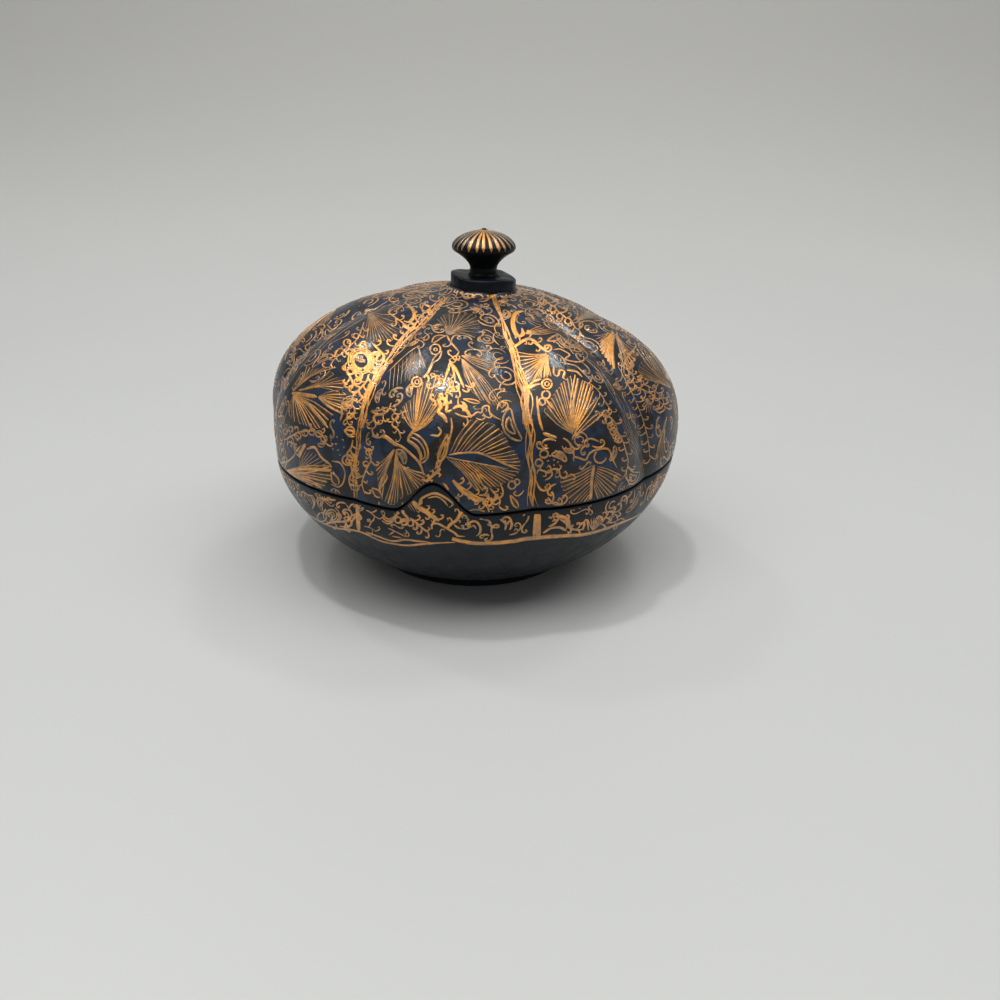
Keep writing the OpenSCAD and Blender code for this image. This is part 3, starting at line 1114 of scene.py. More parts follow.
def vine(points, every=5.0, size=3.5, width=1.5, tone=0.6, layer="scrollwork", sides=(1, -1)):
    """A line with curls that leave it on both sides in turn."""
    stroke(layer, points, width, tone)
    path = smooth_path(points, 1.0)
    far = 0.0
    hand = 0
    for a, b in zip(path, path[1:]):
        far += float(np.hypot(*(b - a)))
        if far > every:
            far = dice.uniform(-0.25, 0.25) * every
            heading = math.degrees(math.atan2(-(b - a)[1], (b - a)[0]))
            side = sides[hand % len(sides)]
            hand += 1
            grown = size * dice.uniform(0.75, 1.25)
            curl(
                *b, grown, heading + side * dice.uniform(25, 60), side,
                width * dice.uniform(0.7, 1.1), tone, layer,
            )


def trunk(points, strands, spread, width=1.5, tone=0.7):
    """Strands side by side along a valley, crossing now and then."""
    path = smooth_path(points, 5.0)
    widths = np.interp(np.linspace(0, 1, len(path)), np.linspace(0, 1, len(spread)), spread)
    way = np.gradient(path, axis=0)
    side = np.c_[-way[:, 1], way[:, 0]] / np.hypot(*way.T)[:, None]
    for k in range(strands):
        phase = dice.uniform(0, math.tau)
        home = (k + 0.5) / strands - 0.5
        wave = 0.22 * np.sin(np.arange(len(path)) * dice.uniform(0.35, 0.9) + phase)
        offset = widths * (home * 0.95 + wave)
        thick = width * dice.uniform(0.75, 1.25)
        stroke(
            "valley_lines", path + side * offset[:, None],
            thick, tone + dice.uniform(-0.2, 0.15), shake=0.15,
        )


# %% [markdown]
# ## What is painted on the front lobes
# Every lobe carries two or three fans with curls between them, and the valleys carry
# bundles of gold line. The rows below follow the real box's layout, lobe by lobe. Each pair
# is a place in the picture, counted to the right and down from its top left corner.

# %% The valleys
trunk(
    [(448, 297), (430, 315), (414, 333), (396, 351), (383, 368), (372, 386)],
    5,
    [2, 4, 6, 7, 7, 7],
    1.5, 0.5,
)
trunk([(384, 366), (372, 385), (367, 400), (364, 412), (361, 428)], 8, [5, 7, 7, 6, 5], 1.5, 0.85)
trunk([(361, 424), (358, 442), (356, 458), (355, 475), (355, 499)], 4, [5, 4, 4, 4, 4], 1.4, 0.65)
trunk([(491, 291), (498, 308), (504, 325), (510, 343)], 5, [3, 4, 5, 6], 1.4, 0.6)
trunk(
    [(508, 340), (513, 354), (518, 368), (522, 384), (526, 402), (528, 424)],
    9,
    [6, 8, 9, 10, 11, 9],
    1.6, 0.9,
)
trunk([(524, 386), (526, 400), (527, 412), (528, 426)], 4, [6, 8, 8, 6], 2.6, 0.95)
trunk(
    [(528, 418), (530, 436), (530, 452), (531, 470), (532, 488), (533, 506)],
    6,
    [9, 8, 7, 7, 8, 9],
    1.4, 0.75,
)
line(
    [(390, 300), (368, 313), (346, 326), (325, 342), (313, 355), (300, 369), (293, 378),
     (285, 391), (280, 402), (277, 413)],
    1.3, 0.0, "valley_lines",
)
line([(392, 303), (370, 315), (348, 328), (327, 344), (315, 357)], 0.8, 0.05, "valley_lines")
trunk(
    [(585, 358), (600, 372), (612, 390), (624, 415), (634, 440), (641, 465), (645, 490)],
    4,
    [2, 4, 5, 5, 5, 4, 4],
    0.9, 0.1,
)
for x, y, size, heading, hand in (
    (362, 404, 8, 150, 1), (358, 413, 8, 190, 1), (357, 396, 10, 180, 1), (357, 399, 7, 170, 1),
    (497, 334, 6, 120, -1), (499, 345, 7, 140, -1), (503, 357, 7, 200, 1), (504, 368, 9, 170, 1),
    (508, 380, 7, 200, 1), (506, 390, 10, 170, 1), (507, 392, 6, 170, 1), (512, 402, 7, 160, 1),
    (536, 480, 9, -70, 1), (537, 484, 6, -70, 1), (524, 490, 6, 240, -1),
):
    curl(x, y, size, heading, hand, 1.4, 0.75, "valley_lines")
tell("valleys")

# %% The front lobe
fan(
    [(447, 335)],
    [(437, 319), (443, 315), (452, 311), (464, 311), (475, 314), (479, 321), (480, 329),
     (475, 338)],
    13, tone=0.15, bend=-0.12,
)
line([(447, 335), (450, 341), (455, 347), (459, 352)], 1.7, 0.5)
fan([(460, 355)], [(492, 362), (494, 367), (493, 372)], 5, tone=0.35)
fan(
    [(461, 357)],
    [(503, 404), (498, 406), (492, 405), (487, 402), (481, 400), (473, 392)],
    10, 1.1, 0.4,
)
line([(418, 346), (421, 356), (425, 367)], 1.6, 0.2)
line([(418, 346), (408, 353), (398, 362), (388, 372)], 1.4, 0.25)
rays(
    (417, 346),
    [(400, 368), (403, 376), (407, 380), (412, 382), (418, 378), (424, 367)],
    9, 0.9, 0.1, gap=0.25,
)
for k in range(7):
    line(
        [(391 + 4 * k, 369 - 3 * k), (390 + 4 * k, 378 - 2 * k), (389 + 4 * k, 390 - 2 * k)],
        1.0, 0.15, "leaf_fans",
    )
ring(435.3, 349.3, 5.3, 1.6, 0.5)
ring(435.5, 349.5, 1.8, 1.3, 0.5)
leaf("scrollwork", (446, 336), (432, 343), 2.6, 1.3, 0.4, 0.15)
line([(442, 351), (439, 359), (433, 363), (430, 370), (426, 377)], 1.5, 0.5)
line([(440, 352), (434, 358), (431, 365), (427, 373), (422, 378)], 1.4, 0.5)
ring(416.7, 382, 5, 1.8, 0.6)
ring(417, 382, 2.4, 1.4, 0.6)
vine([(459, 352), (456, 356), (452, 357), (456, 361), (450, 364)], 4, 3.2, 1.6, 0.7)
for end in ((445, 377), (443, 384), (455, 381), (460, 378), (464, 388)):
    line([(450, 362), ((450 + end[0]) / 2 + 1, (362 + end[1]) / 2 - 1), end], 2.2, 0.85)
# These curls and the thick lines below them get nearly the brightest tone where a lamp's highlight
# falls on the front lobe: a painted highlight in the gold.
for k in range(26):
    x, y = dice.uniform(426, 466), dice.uniform(377, 402)
    if abs(x - 446) < 22 - abs(y - 390) * 0.4:
        curl(
            x, y, dice.uniform(3.5, 6), dice.uniform(0, 360), dice.choice((1, -1)),
            dice.uniform(1.3, 2.2), 0.95,
        )
line([(438, 399), (441, 407), (438, 412), (444, 417), (447, 423)], 3.4, 0.9)
line([(442, 396), (447, 405), (446, 412), (452, 410)], 2.8, 0.9)
line([(453, 409), (459, 406), (465, 409), (469, 414), (471, 418)], 3.0, 0.9)
line(
    [(455, 413), (461, 416), (468, 417), (474, 415), (477, 412), (482, 413), (483, 407),
     (489, 406), (489, 411), (493, 416), (501, 420)],
    1.7, 0.75,
)
leaf("scrollwork", (463, 399), (480, 403), 1.8, 1.3, 0.7)
for x, y, size, heading, hand in (
    (497, 410, 6, 80, -1), (483, 413, 5, -60, 1), (476, 418, 5, -30, 1), (466, 417, 5, -60, -1),
    (501, 412, 6, 20, 1),
):
    curl(x, y, size, heading, hand, 1.4, 0.7)
fan(
    [(415, 432)],
    [(401, 410), (405, 404), (411, 400), (417, 389), (421, 383), (427, 380), (433, 385),
     (437, 393), (439, 401), (437, 410), (433, 419)],
    16, 1.2, 0.55,
)
line([(415, 432), (417, 416), (419, 402), (421, 388)], 2.6, 0.7, "leaf_fans")
line([(416, 428), (411, 434), (408, 440), (413, 444), (418, 449), (421, 456), (420, 463)], 2.4, 0.6)
line([(413, 433), (421, 438), (427, 447), (428, 456), (424, 462), (420, 463)], 1.6, 0.6)
line([(411, 437), (418, 441), (424, 449), (425, 457), (421, 460)], 1.3, 0.5)
line([(438, 427), (441, 432), (438, 436), (430, 435)], 1.8, 0.65)
line(
    [(451, 418), (452, 428), (450, 437), (448, 444), (446, 454), (441, 461), (439, 467),
     (435, 472)],
    1.7, 0.65,
)
leaf("scrollwork", (448, 434), (439, 463), 3.6, 1.5, 0.6)
leaf("scrollwork", (446, 441), (440, 458), 1.6, 1.2, 0.5)
fan(
    [(449, 455), (462, 453), (478, 453), (492, 458), (505, 464), (520, 470)],
    [(471, 420), (480, 421), (489, 423), (498, 427), (504, 433), (507, 440), (511, 448),
     (516, 454), (519, 460), (521, 466)],
    14, 1.2, 0.5, reach=0.75, rib=2.4,
)
fan(
    [(446, 457), (460, 460), (476, 463), (492, 466), (508, 469)],
    [(475, 489), (482, 491), (489, 489), (496, 487), (502, 485), (508, 481), (514, 477),
     (519, 472)],
    12, 1.2, 0.5, reach=0.8, rib=1.6,
)
for k in range(4):
    line([(470 + 2.6 * k, 473 - k), (477 + 2.6 * k, 485 - k)], 2.0, 0.65, "leaf_fans")
fan([(395, 448)], [(376, 466), (377, 474), (378, 486), (382, 499)], 6, 1.2, 0.5)
fan(
    [(396, 450), (398, 462), (400, 474), (401, 488)],
    [(385, 502), (390, 504), (395, 505), (402, 497), (410, 494), (416, 489), (421, 486),
     (425, 481), (425, 474)],
    13, 1.2, 0.5, reach=0.4, rib=2.4,
)
line([(390, 439), (396, 444), (402, 447), (413, 456), (420, 464), (424, 475)], 1.9, 0.6)
line([(381, 436), (386, 437), (391, 441), (397, 446)], 2.8, 0.65)
vine([(408, 411), (401, 413), (396, 418), (392, 425), (398, 430), (401, 438)], 4, 3.6, 1.4, 0.6)
ring(395, 417, 3.4, 1.5, 0.6)
vine([(422, 479), (427, 481), (431, 477), (436, 473), (440, 469), (436, 466)], 4, 3, 2.2, 0.75)
line([(443, 483), (447, 487), (450, 494)], 1.8, 0.55)
line([(453, 480), (458, 486), (462, 491), (470, 496), (477, 501), (482, 499), (487, 502)], 3.2, 0.8)
vine([(455, 481), (461, 487), (468, 491), (475, 496), (483, 500), (487, 508)], 4, 4.5, 1.6, 0.75)
vine([(479, 495), (487, 496), (492, 503), (487, 508)], 4, 4, 1.6, 0.7)
vine([(490, 488), (496, 495), (500, 500), (499, 506)], 4, 4, 1.5, 0.65)
curl(500, 484, 8, -60, -1, 1.3)
leaf("scrollwork", (510, 495), (518, 508), 2.4, 1.4, 0.6)
ring(512, 485, 4, 1.5, 0.6)
ring(517, 482, 3, 1.3, 0.6)
vine(
    [(364, 447), (369, 452), (371, 460), (367, 468), (364, 476), (362, 484), (365, 494)],
    5, 4, 1.5, 0.6,
)
ring(369, 452, 3.2, 1.3, 0.6)
ring(366, 464, 2.8, 1.3, 0.6)
leaf("scrollwork", (372, 488), (381, 497), 3.4, 1.4, 0.6)
leaf("scrollwork", (379, 489), (387, 474), 2.2, 1.4, 0.55)
leaf("scrollwork", (371, 411), (388, 408), 2.6, 1.5, 0.6, 0.2)
vine([(391, 403), (388, 411), (381, 414), (373, 417), (376, 425), (371, 431)], 4, 4, 1.6, 0.6)
curl(372, 436, 7, -20, 1, 1.4)
tell("front lobe")

# %% The lobe on its left
fan(
    [(369, 312)],
    [(362, 336), (370, 341), (376, 342), (383, 340), (391, 342), (398, 337), (400, 329),
     (396, 314)],
    13, 1.0, 0.25,
)
fan(
    [(292, 392)],
    [(307, 366), (313, 369), (319, 369), (327, 368), (336, 367)],
    8, 1.2, 0.45, bend=-0.1,
)
fan([(297, 391)], [(330, 371), (337, 377), (346, 383), (340, 392)], 6, 1.2, 0.45, bend=-0.1)
fan([(317, 397)], [(340, 390), (352, 399), (350, 408), (345, 414), (337, 412)], 8, 1.3, 0.55)
fan(
    [(294, 394)],
    [(333, 415), (326, 424), (319, 430), (311, 427), (304, 425), (297, 423), (291, 418),
     (288, 410)],
    12, 1.3, 0.55,
)
line([(292, 393), (305, 395), (317, 397)], 3.2, 0.7)
line([(294, 394), (308, 405), (320, 418), (328, 428)], 2.6, 0.75)
# The rosette and the strokes round it get the brightest tone where a lamp's highlight falls on this
# lobe: a painted highlight in the gold.
for r, width in ((8.4, 3.4), (11.0, 1.8), (13.0, 1.4)):
    ring(361, 361, r, width, 0.95)
for k in range(12):
    a = k * 30 * degree
    curl(361 + 10 * math.cos(a), 361 - 10 * math.sin(a), 5.5, k * 30 + 20, (-1) ** k, 1.8, 0.95)
for k in range(8):
    ring(dice.gauss(361, 3), dice.gauss(361, 3), dice.uniform(1, 2), 1.3, 0.3)
vine([(369, 374), (366, 382), (357, 392), (352, 398), (358, 403)], 3.5, 4.5, 2.0, 0.9)
vine([(346, 369), (350, 377), (353, 385), (350, 391)], 4, 4, 2.0, 0.85)
leaf("scrollwork", (334, 357), (343, 349), 3.0, 2.0, 0.8)
ring(347, 343, 3.6, 1.8, 0.7)
ring(356, 336, 2.6, 1.4, 0.6)
ring(350, 372, 3.4, 1.8, 0.8)
vine(
    [(364, 322), (361, 331), (358, 338), (352, 344), (343, 352), (334, 360), (329, 368)],
    4, 3.5, 1.4, 0.55,
)
vine([(372, 343), (379, 350), (384, 357), (381, 366)], 3.5, 4, 2.2, 0.85)
line([(407, 304), (413, 310), (414, 317), (409, 322), (404, 321)], 3.2, 0.55)
ring(426, 308.6, 4.2, 1.8, 0.5)
ring(442, 299, 3.2, 1.6, 0.4)
ring(419, 318, 3.4, 1.6, 0.5)
ring(411, 327, 3.4, 1.7, 0.6)
vine(
    [(446, 296), (437, 302), (429, 309), (421, 316), (414, 326), (406, 333), (399, 341),
     (392, 350)],
    3.5, 4.2, 1.7, 0.55,
)
vine([(388, 312), (396, 318), (403, 323), (409, 331)], 4, 4, 1.7, 0.55)
vine([(392, 303), (400, 306), (406, 303)], 5, 3, 1.2, 0.3)
line([(341, 407), (344, 403), (350, 402), (353, 398)], 2.6, 0.7)
line([(340, 421), (342, 414), (341, 408)], 1.8, 0.6)
ring(350, 431, 4.4, 1.7, 0.7)
leaf("scrollwork", (344, 430), (355, 436), 3.0, 1.5, 0.7)
vine([(352, 404), (355, 412), (350, 419), (346, 417)], 4, 4, 1.5, 0.75)
vine(
    [(353, 440), (351, 448), (347, 455), (352, 470), (349, 480), (352, 490)],
    4.5, 4.5, 1.5, 0.65, sides=(1,),
)
ring(347.5, 460, 5.2, 1.5, 0.6)
ring(348, 461, 2.4, 1.2, 0.6)
for x, y in ((305, 433), (312, 432), (319, 434), (298, 436), (324, 439)):
    ring(x, y, 3.2, 1.4, 0.45)
vine(
    [(284, 440), (290, 437), (297, 433), (305, 431), (313, 431), (320, 434), (326, 441),
     (323, 447)],
    5, 3.2, 1.4, 0.5,
)
for x, y in (
    (337, 437), (331, 440), (343, 440), (336, 444), (344, 447), (333, 449), (338, 450), (340, 455),
):
    dot(x, y)
line([(278, 463), (286, 462), (293, 457), (297, 450), (302, 445)], 1.6, 0.45)
line([(299, 457), (303, 448), (306, 444)], 3.4, 0.55)
line([(307, 449), (314, 447), (318, 452), (322, 458), (331, 465)], 2.2, 0.55)
rays((298, 470), [(303, 450), (309, 451), (315, 453), (321, 458), (328, 463)], 8, 1.0, 0.3, gap=0.2)
fan(
    [(283, 471)],
    [(332, 466), (331, 472), (330, 479), (325, 486), (317, 488), (306, 484)],
    10, 1.5, 0.6, fat=1.2,
)
line([(284, 472), (305, 473), (332, 466)], 2.8, 0.7, "leaf_fans")
line([(292, 475), (310, 480), (320, 487)], 2.4, 0.65, "leaf_fans")
leaf("scrollwork", (331, 472), (338, 485), 3.4, 1.5, 0.55)
line([(332, 461), (340, 463), (345, 472), (343, 483), (338, 487), (331, 484)], 1.5, 0.5)
tell("lobe on its left")

# %% The lobe on its right
line(
    [(523, 311), (516, 313), (513, 321), (514, 329), (518, 336), (523, 334), (522, 328)],
    4.2, 0.85,
)
line([(527, 313), (532, 316), (534, 320)], 2.4, 0.6)
rays((524, 334), [(541, 326), (546, 329), (551, 330), (556, 332)], 6, 1.4, 0.65)
rays((524, 318), [(536, 318), (543, 323), (540, 328)], 5, 0.9, 0.1)
leaf("scrollwork", (547, 341), (561, 336), 2.6, 1.8, 0.65)
line(
    [(514, 347), (520, 343), (527, 339), (533, 340), (537, 344), (542, 348), (547, 352)],
    3.4, 0.85,
)
vine([(516, 345), (523, 340), (530, 338), (538, 344), (546, 352)], 4, 3.5, 1.8, 0.8)
ring(548, 348, 3.6, 1.9, 0.8)
line(
    [(553, 350), (560, 349), (566, 352), (570, 355), (565, 359), (571, 361), (579, 362),
     (584, 360), (583, 356)],
    1.7, 0.7,
)
fan(
    [(548, 354)],
    [(515, 352), (517, 361), (521, 370), (524, 380), (532, 380), (537, 379), (543, 378),
     (547, 377), (551, 375)],
    16, 1.5, 0.8, fat=1.1,
)
for x in (541, 544, 547):
    line([(548, 357), (x + 1, 367), (x, 378)], 2.4, 0.85, "leaf_fans")
line([(560, 362), (569, 364), (576, 366), (582, 371), (592, 382)], 1.8, 0.35)
line(
    [(554, 366), (554, 374), (558, 376), (560, 370), (565, 372), (563, 378), (567, 380)],
    2.0, 0.85,
)
line([(567, 370), (577, 372), (582, 377)], 2.6, 0.7)
ring(547, 384, 5, 1.8, 0.8)
ring(547, 384, 2.4, 1.4, 0.8)
ring(546, 395, 4.2, 1.8, 0.8)
ring(542, 402, 3.6, 1.6, 0.75)
line([(541, 379), (533, 382), (528, 389), (535, 385), (541, 384)], 2.8, 0.85)
fan(
    [(572, 434)],
    [(544, 411), (549, 403), (553, 396), (557, 390), (561, 385), (565, 380), (570, 376)],
    10, 1.2, 0.6, fat=1.1,
)
fan([(572, 434)], [(575, 376), (582, 380), (588, 383), (593, 391)], 6, 1.6, 0.8, fat=1.4)
line([(572, 434), (572, 418), (573, 400)], 3.4, 0.75, "leaf_fans")
leaf("leaf_fans", (574, 434), (598, 398), 2.0, 1.5, 0.7)
leaf("leaf_fans", (575, 436), (602, 412), 2.0, 1.3, 0.45)
line([(537, 396), (538, 410), (540, 422), (543, 431)], 2.2, 0.75)
line([(542, 405), (539, 400), (545, 398), (549, 404), (553, 409)], 1.8, 0.8)
line([(543, 433), (550, 436), (557, 438)], 2.6, 0.6)
for r in (4.5, 7.0, 9.5):
    ring(580, 440, r * 0.8, 1.3, 0.5, span=200)
for x, y, size, heading, hand in (
    (556, 441, 8, 160, 1), (549, 448, 7, 200, -1), (563, 438, 8, -30, -1), (570, 442, 6, -70, 1),
    (588, 445, 6, 200, 1), (599, 442, 8, 150, 1), (592, 446, 7, -20, 1), (545, 480, 6, 20, 1),
    (556, 484, 7, 200, 1), (553, 492, 7, -80, -1), (548, 497, 8, -60, 1), (551, 503, 6, 10, -1),
    (560, 505, 6, 20, 1), (574, 458, 6, 90, 1), (562, 446, 7, -60, 1),
):
    curl(x, y, size, heading, hand, 1.5, 0.6)
ring(544, 454, 4.2, 1.5, 0.6)
ring(539, 463, 3.8, 1.4, 0.6)
vine(
    [(537, 474), (538, 470), (544, 471), (549, 473), (553, 469), (559, 470), (560, 476),
     (565, 478), (570, 474)],
    5, 3.5, 1.4, 0.6,
)
for x, y in ((556, 451), (560, 455), (550, 456), (554, 460), (558, 462), (554, 465), (548, 461)):
    dot(x, y)
line(
    [(574, 461), (573, 457), (579, 458), (586, 460), (589, 454), (596, 450), (608, 449),
     (612, 458), (617, 468)],
    1.6, 0.55,
)
ring(600, 457, 6, 1.4, 0.55, span=230)
fan(
    [(594, 465), (592, 478), (591, 492), (590, 505)],
    [(560, 479), (562, 487), (565, 495), (570, 504), (577, 508), (585, 508)],
    10, 1.3, 0.5, reach=0.75, rib=5.0,
)
fan(
    [(596, 466), (594, 478), (593, 490)],
    [(622, 476), (618, 484), (613, 492), (606, 498), (600, 503)],
    9, 1.2, 0.4, reach=0.7,
)
for k in range(6):
    ring(606 + 2.5 * k, 414 + 7 * k - 0.4 * k * k, 3.6, 1.4, 0.5)
vine(
    [(597, 421), (602, 415), (610, 417), (616, 425), (618, 434), (623, 442), (626, 452),
     (628, 462), (625, 474), (619, 482)],
    4.5, 4, 1.4, 0.5,
)
for k in range(6):
    line(
        [(618 + 2 * k, 415 + 5 * k), (626 + k, 424 + 5 * k), (633 + k, 432 + 5 * k)],
        0.8, 0.05, "leaf_fans",
    )
vine([(584, 382), (592, 385), (600, 393), (606, 403), (612, 412)], 4, 3.5, 1.2, 0.4)
tell("lobe on its right")

# %% The lobe at the right-hand side
vine(
    [(530, 294), (537, 297), (543, 299), (548, 303), (553, 306), (559, 312), (565, 317),
     (571, 320), (575, 327), (580, 331)],
    3.5, 4, 1.9, 0.5,
)
ring(543, 302, 3.4, 1.6, 0.45)
for spot in ((553, 309), (560, 316), (568, 321)):
    ring(*spot, 3.2, 1.8, 0.55)
line([(580, 329), (580, 323), (587, 321), (595, 323), (598, 329)], 2.2, 0.4)
line([(580, 332), (584, 337), (589, 339)], 1.6, 0.3)
rays((545, 296), [(560, 300), (575, 306), (590, 314)], 6, 0.9, 0.1)
fan([(614, 332)], [(601, 342), (600, 350), (606, 359), (614, 369)], 8, 2.6, 0.7, fat=1.6)
fan([(615, 333)], [(622, 374), (629, 371), (634, 364), (638, 354)], 8, 1.3, 0.4)
rays((609, 333), [(593, 336), (597, 341), (600, 346)], 4, 1.2, 0.4)
vine([(636, 346), (632, 352), (627, 358), (624, 366), (630, 372), (636, 380)], 3.5, 4, 1.8, 0.6)
fan(
    [(672, 389)],
    [(636, 348), (642, 350), (650, 353), (641, 362), (638, 372), (642, 379)],
    16, 1.0, 0.3,
)
vine([(623, 372), (630, 379), (637, 387), (646, 391), (654, 396), (662, 404)], 4, 4.5, 1.5, 0.45)
vine([(640, 384), (648, 386), (655, 391), (662, 398), (665, 410)], 4, 4.5, 1.5, 0.5)
vine([(618, 366), (628, 385), (636, 402), (643, 420), (648, 440), (650, 460)], 4, 4, 1.2, 0.35)
rays((648, 398), [(640, 402), (644, 412), (651, 414), (657, 410)], 8, 0.9, 0.25)
fan([(667, 415)], [(660, 438), (657, 450), (655, 464), (663, 468)], 8, 1.1, 0.3)
print("strokes so far:", {key: len(value) for key, value in gold.items()})

# %% [markdown]
# ## The bowl's painted band
# The band under the seam ends in a border: two thin strokes that overlap on the left, and
# one thick one from the front round the right. The bowl below it is plain lacquer.

# %% The bowl's band
line(
    [(298, 506), (317, 519.6), (335, 527.6), (354, 530.3), (365, 533.6), (381, 541), (397, 544.3),
     (409, 545.3), (424, 543.9), (437, 543), (455, 542.3)],
    2.0, 0.6, "border",
)
line(
    [(366, 532), (376, 535.6), (392, 541), (405, 539.6), (417, 541), (431, 542.3)],
    1.8, 0.55, "border",
)
line(
    [(452, 538.8), (464, 541.6), (478, 543.4), (496, 542.9), (512, 541.4), (523, 539.4),
     (537, 537.8), (552, 536.6), (565, 535.7), (580, 535), (594, 532.2), (607, 528.2),
     (621, 522.9), (631, 518.8), (641, 513.5)],
    3.4, 0.65, "border", thin=(0.9, 0.4),
)
for x in (-2.2, 0, 2.2):
    line([(537.6 + x * 0.9, 514), (537 + x, 526), (536.5 + x * 1.3, 537)], 2.1, 0.7, "border")
line([(357, 503), (358, 516), (358.6, 531)], 3.4, 0.65, "border")
for k in range(3):
    line(
        [(303 + 2 * k, 493 + k), (309 + 2 * k, 495 + k * 0.5), (313 + k, 501 + k),
         (314 - k, 507 + k)],
        1.4, 0.3,
    )
line([(320, 499), (328, 499.5), (336, 500)], 2.2, 0.35)
line([(324, 500), (323, 504)], 1.6, 0.35)
for r in (3.0, 5.5, 8.0):
    ring(331.5, 515, r, 1.5, 0.5, span=290)
ring(322, 517, 4.5, 1.5, 0.5)
vine([(325, 524), (333, 522), (341, 521.6), (348, 520), (352, 514), (346, 504)], 4, 4.5, 1.9, 0.65)
vine([(340, 526), (346, 527), (352, 524), (350, 518)], 3.5, 4, 1.8, 0.65)
vine([(366, 510), (370, 512), (376, 517), (381, 519.6)], 5, 4, 1.4, 0.4)
for k in range(3):
    line(
        [(382, 514 + 3.2 * k), (388, 519 + 2.4 * k), (396 - k, 516 + 2 * k), (394, 513 + 2 * k)],
        1.6, 0.6,
    )
line([(396, 516), (400, 509), (402.5, 503), (403, 512), (408, 519), (401, 522)], 2.8, 0.65)
for x, y in ((404, 522), (410.5, 523), (398, 520)):
    ring(x, y, 3.2, 1.8, 0.65)
vine([(410, 518), (416, 522), (421, 527), (429, 533)], 3.5, 3.5, 2.0, 0.65)
for k in range(3):
    line(
        [(405 + 3 * k, 500 + k), (409 + 3 * k, 506 + k), (412 + 3 * k, 511 + k)],
        1.0, 0.4, "leaf_fans",
    )
line(
    [(419, 503), (421, 499), (427, 495.4), (435, 493.4), (444, 496.8), (453, 503.8), (449, 507.5)],
    1.9, 0.6,
)
line([(428, 498), (436, 496.5), (443, 500), (448, 506)], 1.4, 0.55)
line([(413, 501), (418, 507), (425, 511), (432, 516), (439, 521)], 4.4, 0.8)
vine([(414, 502), (421, 508), (429, 513), (438, 520)], 3.5, 3.5, 1.8, 0.75)
line(
    [(432, 529), (432, 524), (438, 523.6), (448, 529), (455, 533), (458, 536), (465, 536.3)],
    2.2, 0.65,
)
line([(447, 529), (451, 523.6), (457, 520), (460, 514), (465, 511.5), (468, 515)], 2.8, 0.65)
vine([(449, 526), (455, 521), (459, 516)], 3.5, 3.5, 1.8, 0.65)
line([(468, 527), (468, 523.6), (475, 521), (480, 526), (480, 533), (476, 536)], 2.0, 0.55)
line([(471, 527), (474, 525), (476, 529)], 1.4, 0.5)
line([(489, 520), (491, 526), (497, 528)], 2.0, 0.45)
line([(500, 519), (506, 524), (505, 530)], 2.0, 0.45)
vine([(364, 526), (371, 528), (377, 532)], 3.5, 3.5, 1.2, 0.4)
for a, b in (
    ((388, 528), (395, 531)),
    ((395, 531), (389, 535)),
    ((395, 531), (406, 537)),
    ((392, 536), (402, 538)),
):
    line([a, b], 1.5, 0.45)
dot(550.3, 517.5, 3, 0.5)
line([(543, 533), (551, 528.2), (560, 527.5), (566, 531)], 2.4, 0.5)
line([(556, 516), (563, 517), (568, 520), (569, 525), (572, 530)], 3.2, 0.65)
vine([(560, 519), (566, 523), (570, 528), (578, 530), (584, 529)], 3, 3.5, 2.0, 0.65)
line([(583, 530), (584.5, 521), (587, 520), (588.5, 530)], 1.8, 0.6)
rays((593, 531), [(588, 519), (595, 517), (600, 516), (606, 515)], 8, 1.6, 0.55)
vine([(594, 529), (600, 524), (606, 517), (609, 511)], 3.5, 3.5, 1.8, 0.6)
vine([(609, 511), (616, 512), (622, 508)], 3.5, 3.5, 1.8, 0.4)
vine([(606, 523), (614, 522), (623, 517)], 3.5, 3.5, 1.6, 0.35)
tell("bowl's band")

# %% [markdown]
# ## The lobes that the camera doesn't see
# The back is painted in the same hand. The front lobes' strokes are moved round the box by
# turn and by place on the section, some of them mirrored, and small curls fill what is left
# bare. The fill keeps clear of paint that is already there. It has one known flaw: the rule's
# turns start at the first valley, and curls drawn further to the left come out too deep, so
# some are pressed to the lid's inside, and the outside stays barer there.

# %% Moving strokes round the box
SLOPES = np.linspace(0.0, 1.5, 600)  # section angles in radians, for looking one up by height
HIDDEN_FROM = {"lid": 78, "bowl": 66}  # degrees round to the right where the camera's view ends
LAST_TURN = 278  # degrees, where the strokes on the front lobes begin again
MARGIN = 4  # degrees past its two valleys, within which a stroke still belongs to a lobe
# Each copied lobe, the lobe its strokes come from, and whether they are mirrored. Lobe 0 is
# the left one of the front lobes, and the count goes round to the right.
COPIES = ((4, 1, True), (5, 2, False), (6, 0, True), (7, 1, False), (3, 0, False))


def chart(points):
    """Turn and section angle of points on the lid."""
    turn = np.degrees(np.arctan2(points[:, 0], -points[:, 1]))
    over = points[:, 2] - SIZES["Girth height"]
    r, z = section(SLOPES, LACQUER, SIZES)
    steep = (z - SIZES["Girth height"]) / r
    up = np.interp(over / np.hypot(points[:, 0], points[:, 1]), steep, SLOPES)
    down = -np.arcsin(np.clip(-over / drop_of(LACQUER), 0, 1) ** (SIZES["Bowl under"] / 2))
    return turn, np.where(over < 0, down, up)


def on_shell(turn, angle):
    """Points on the lacquer at turns and section angles."""
    return np.stack(np.broadcast_arrays(*skin(turn, angle, LACQUER, SIZES)), axis=-1)


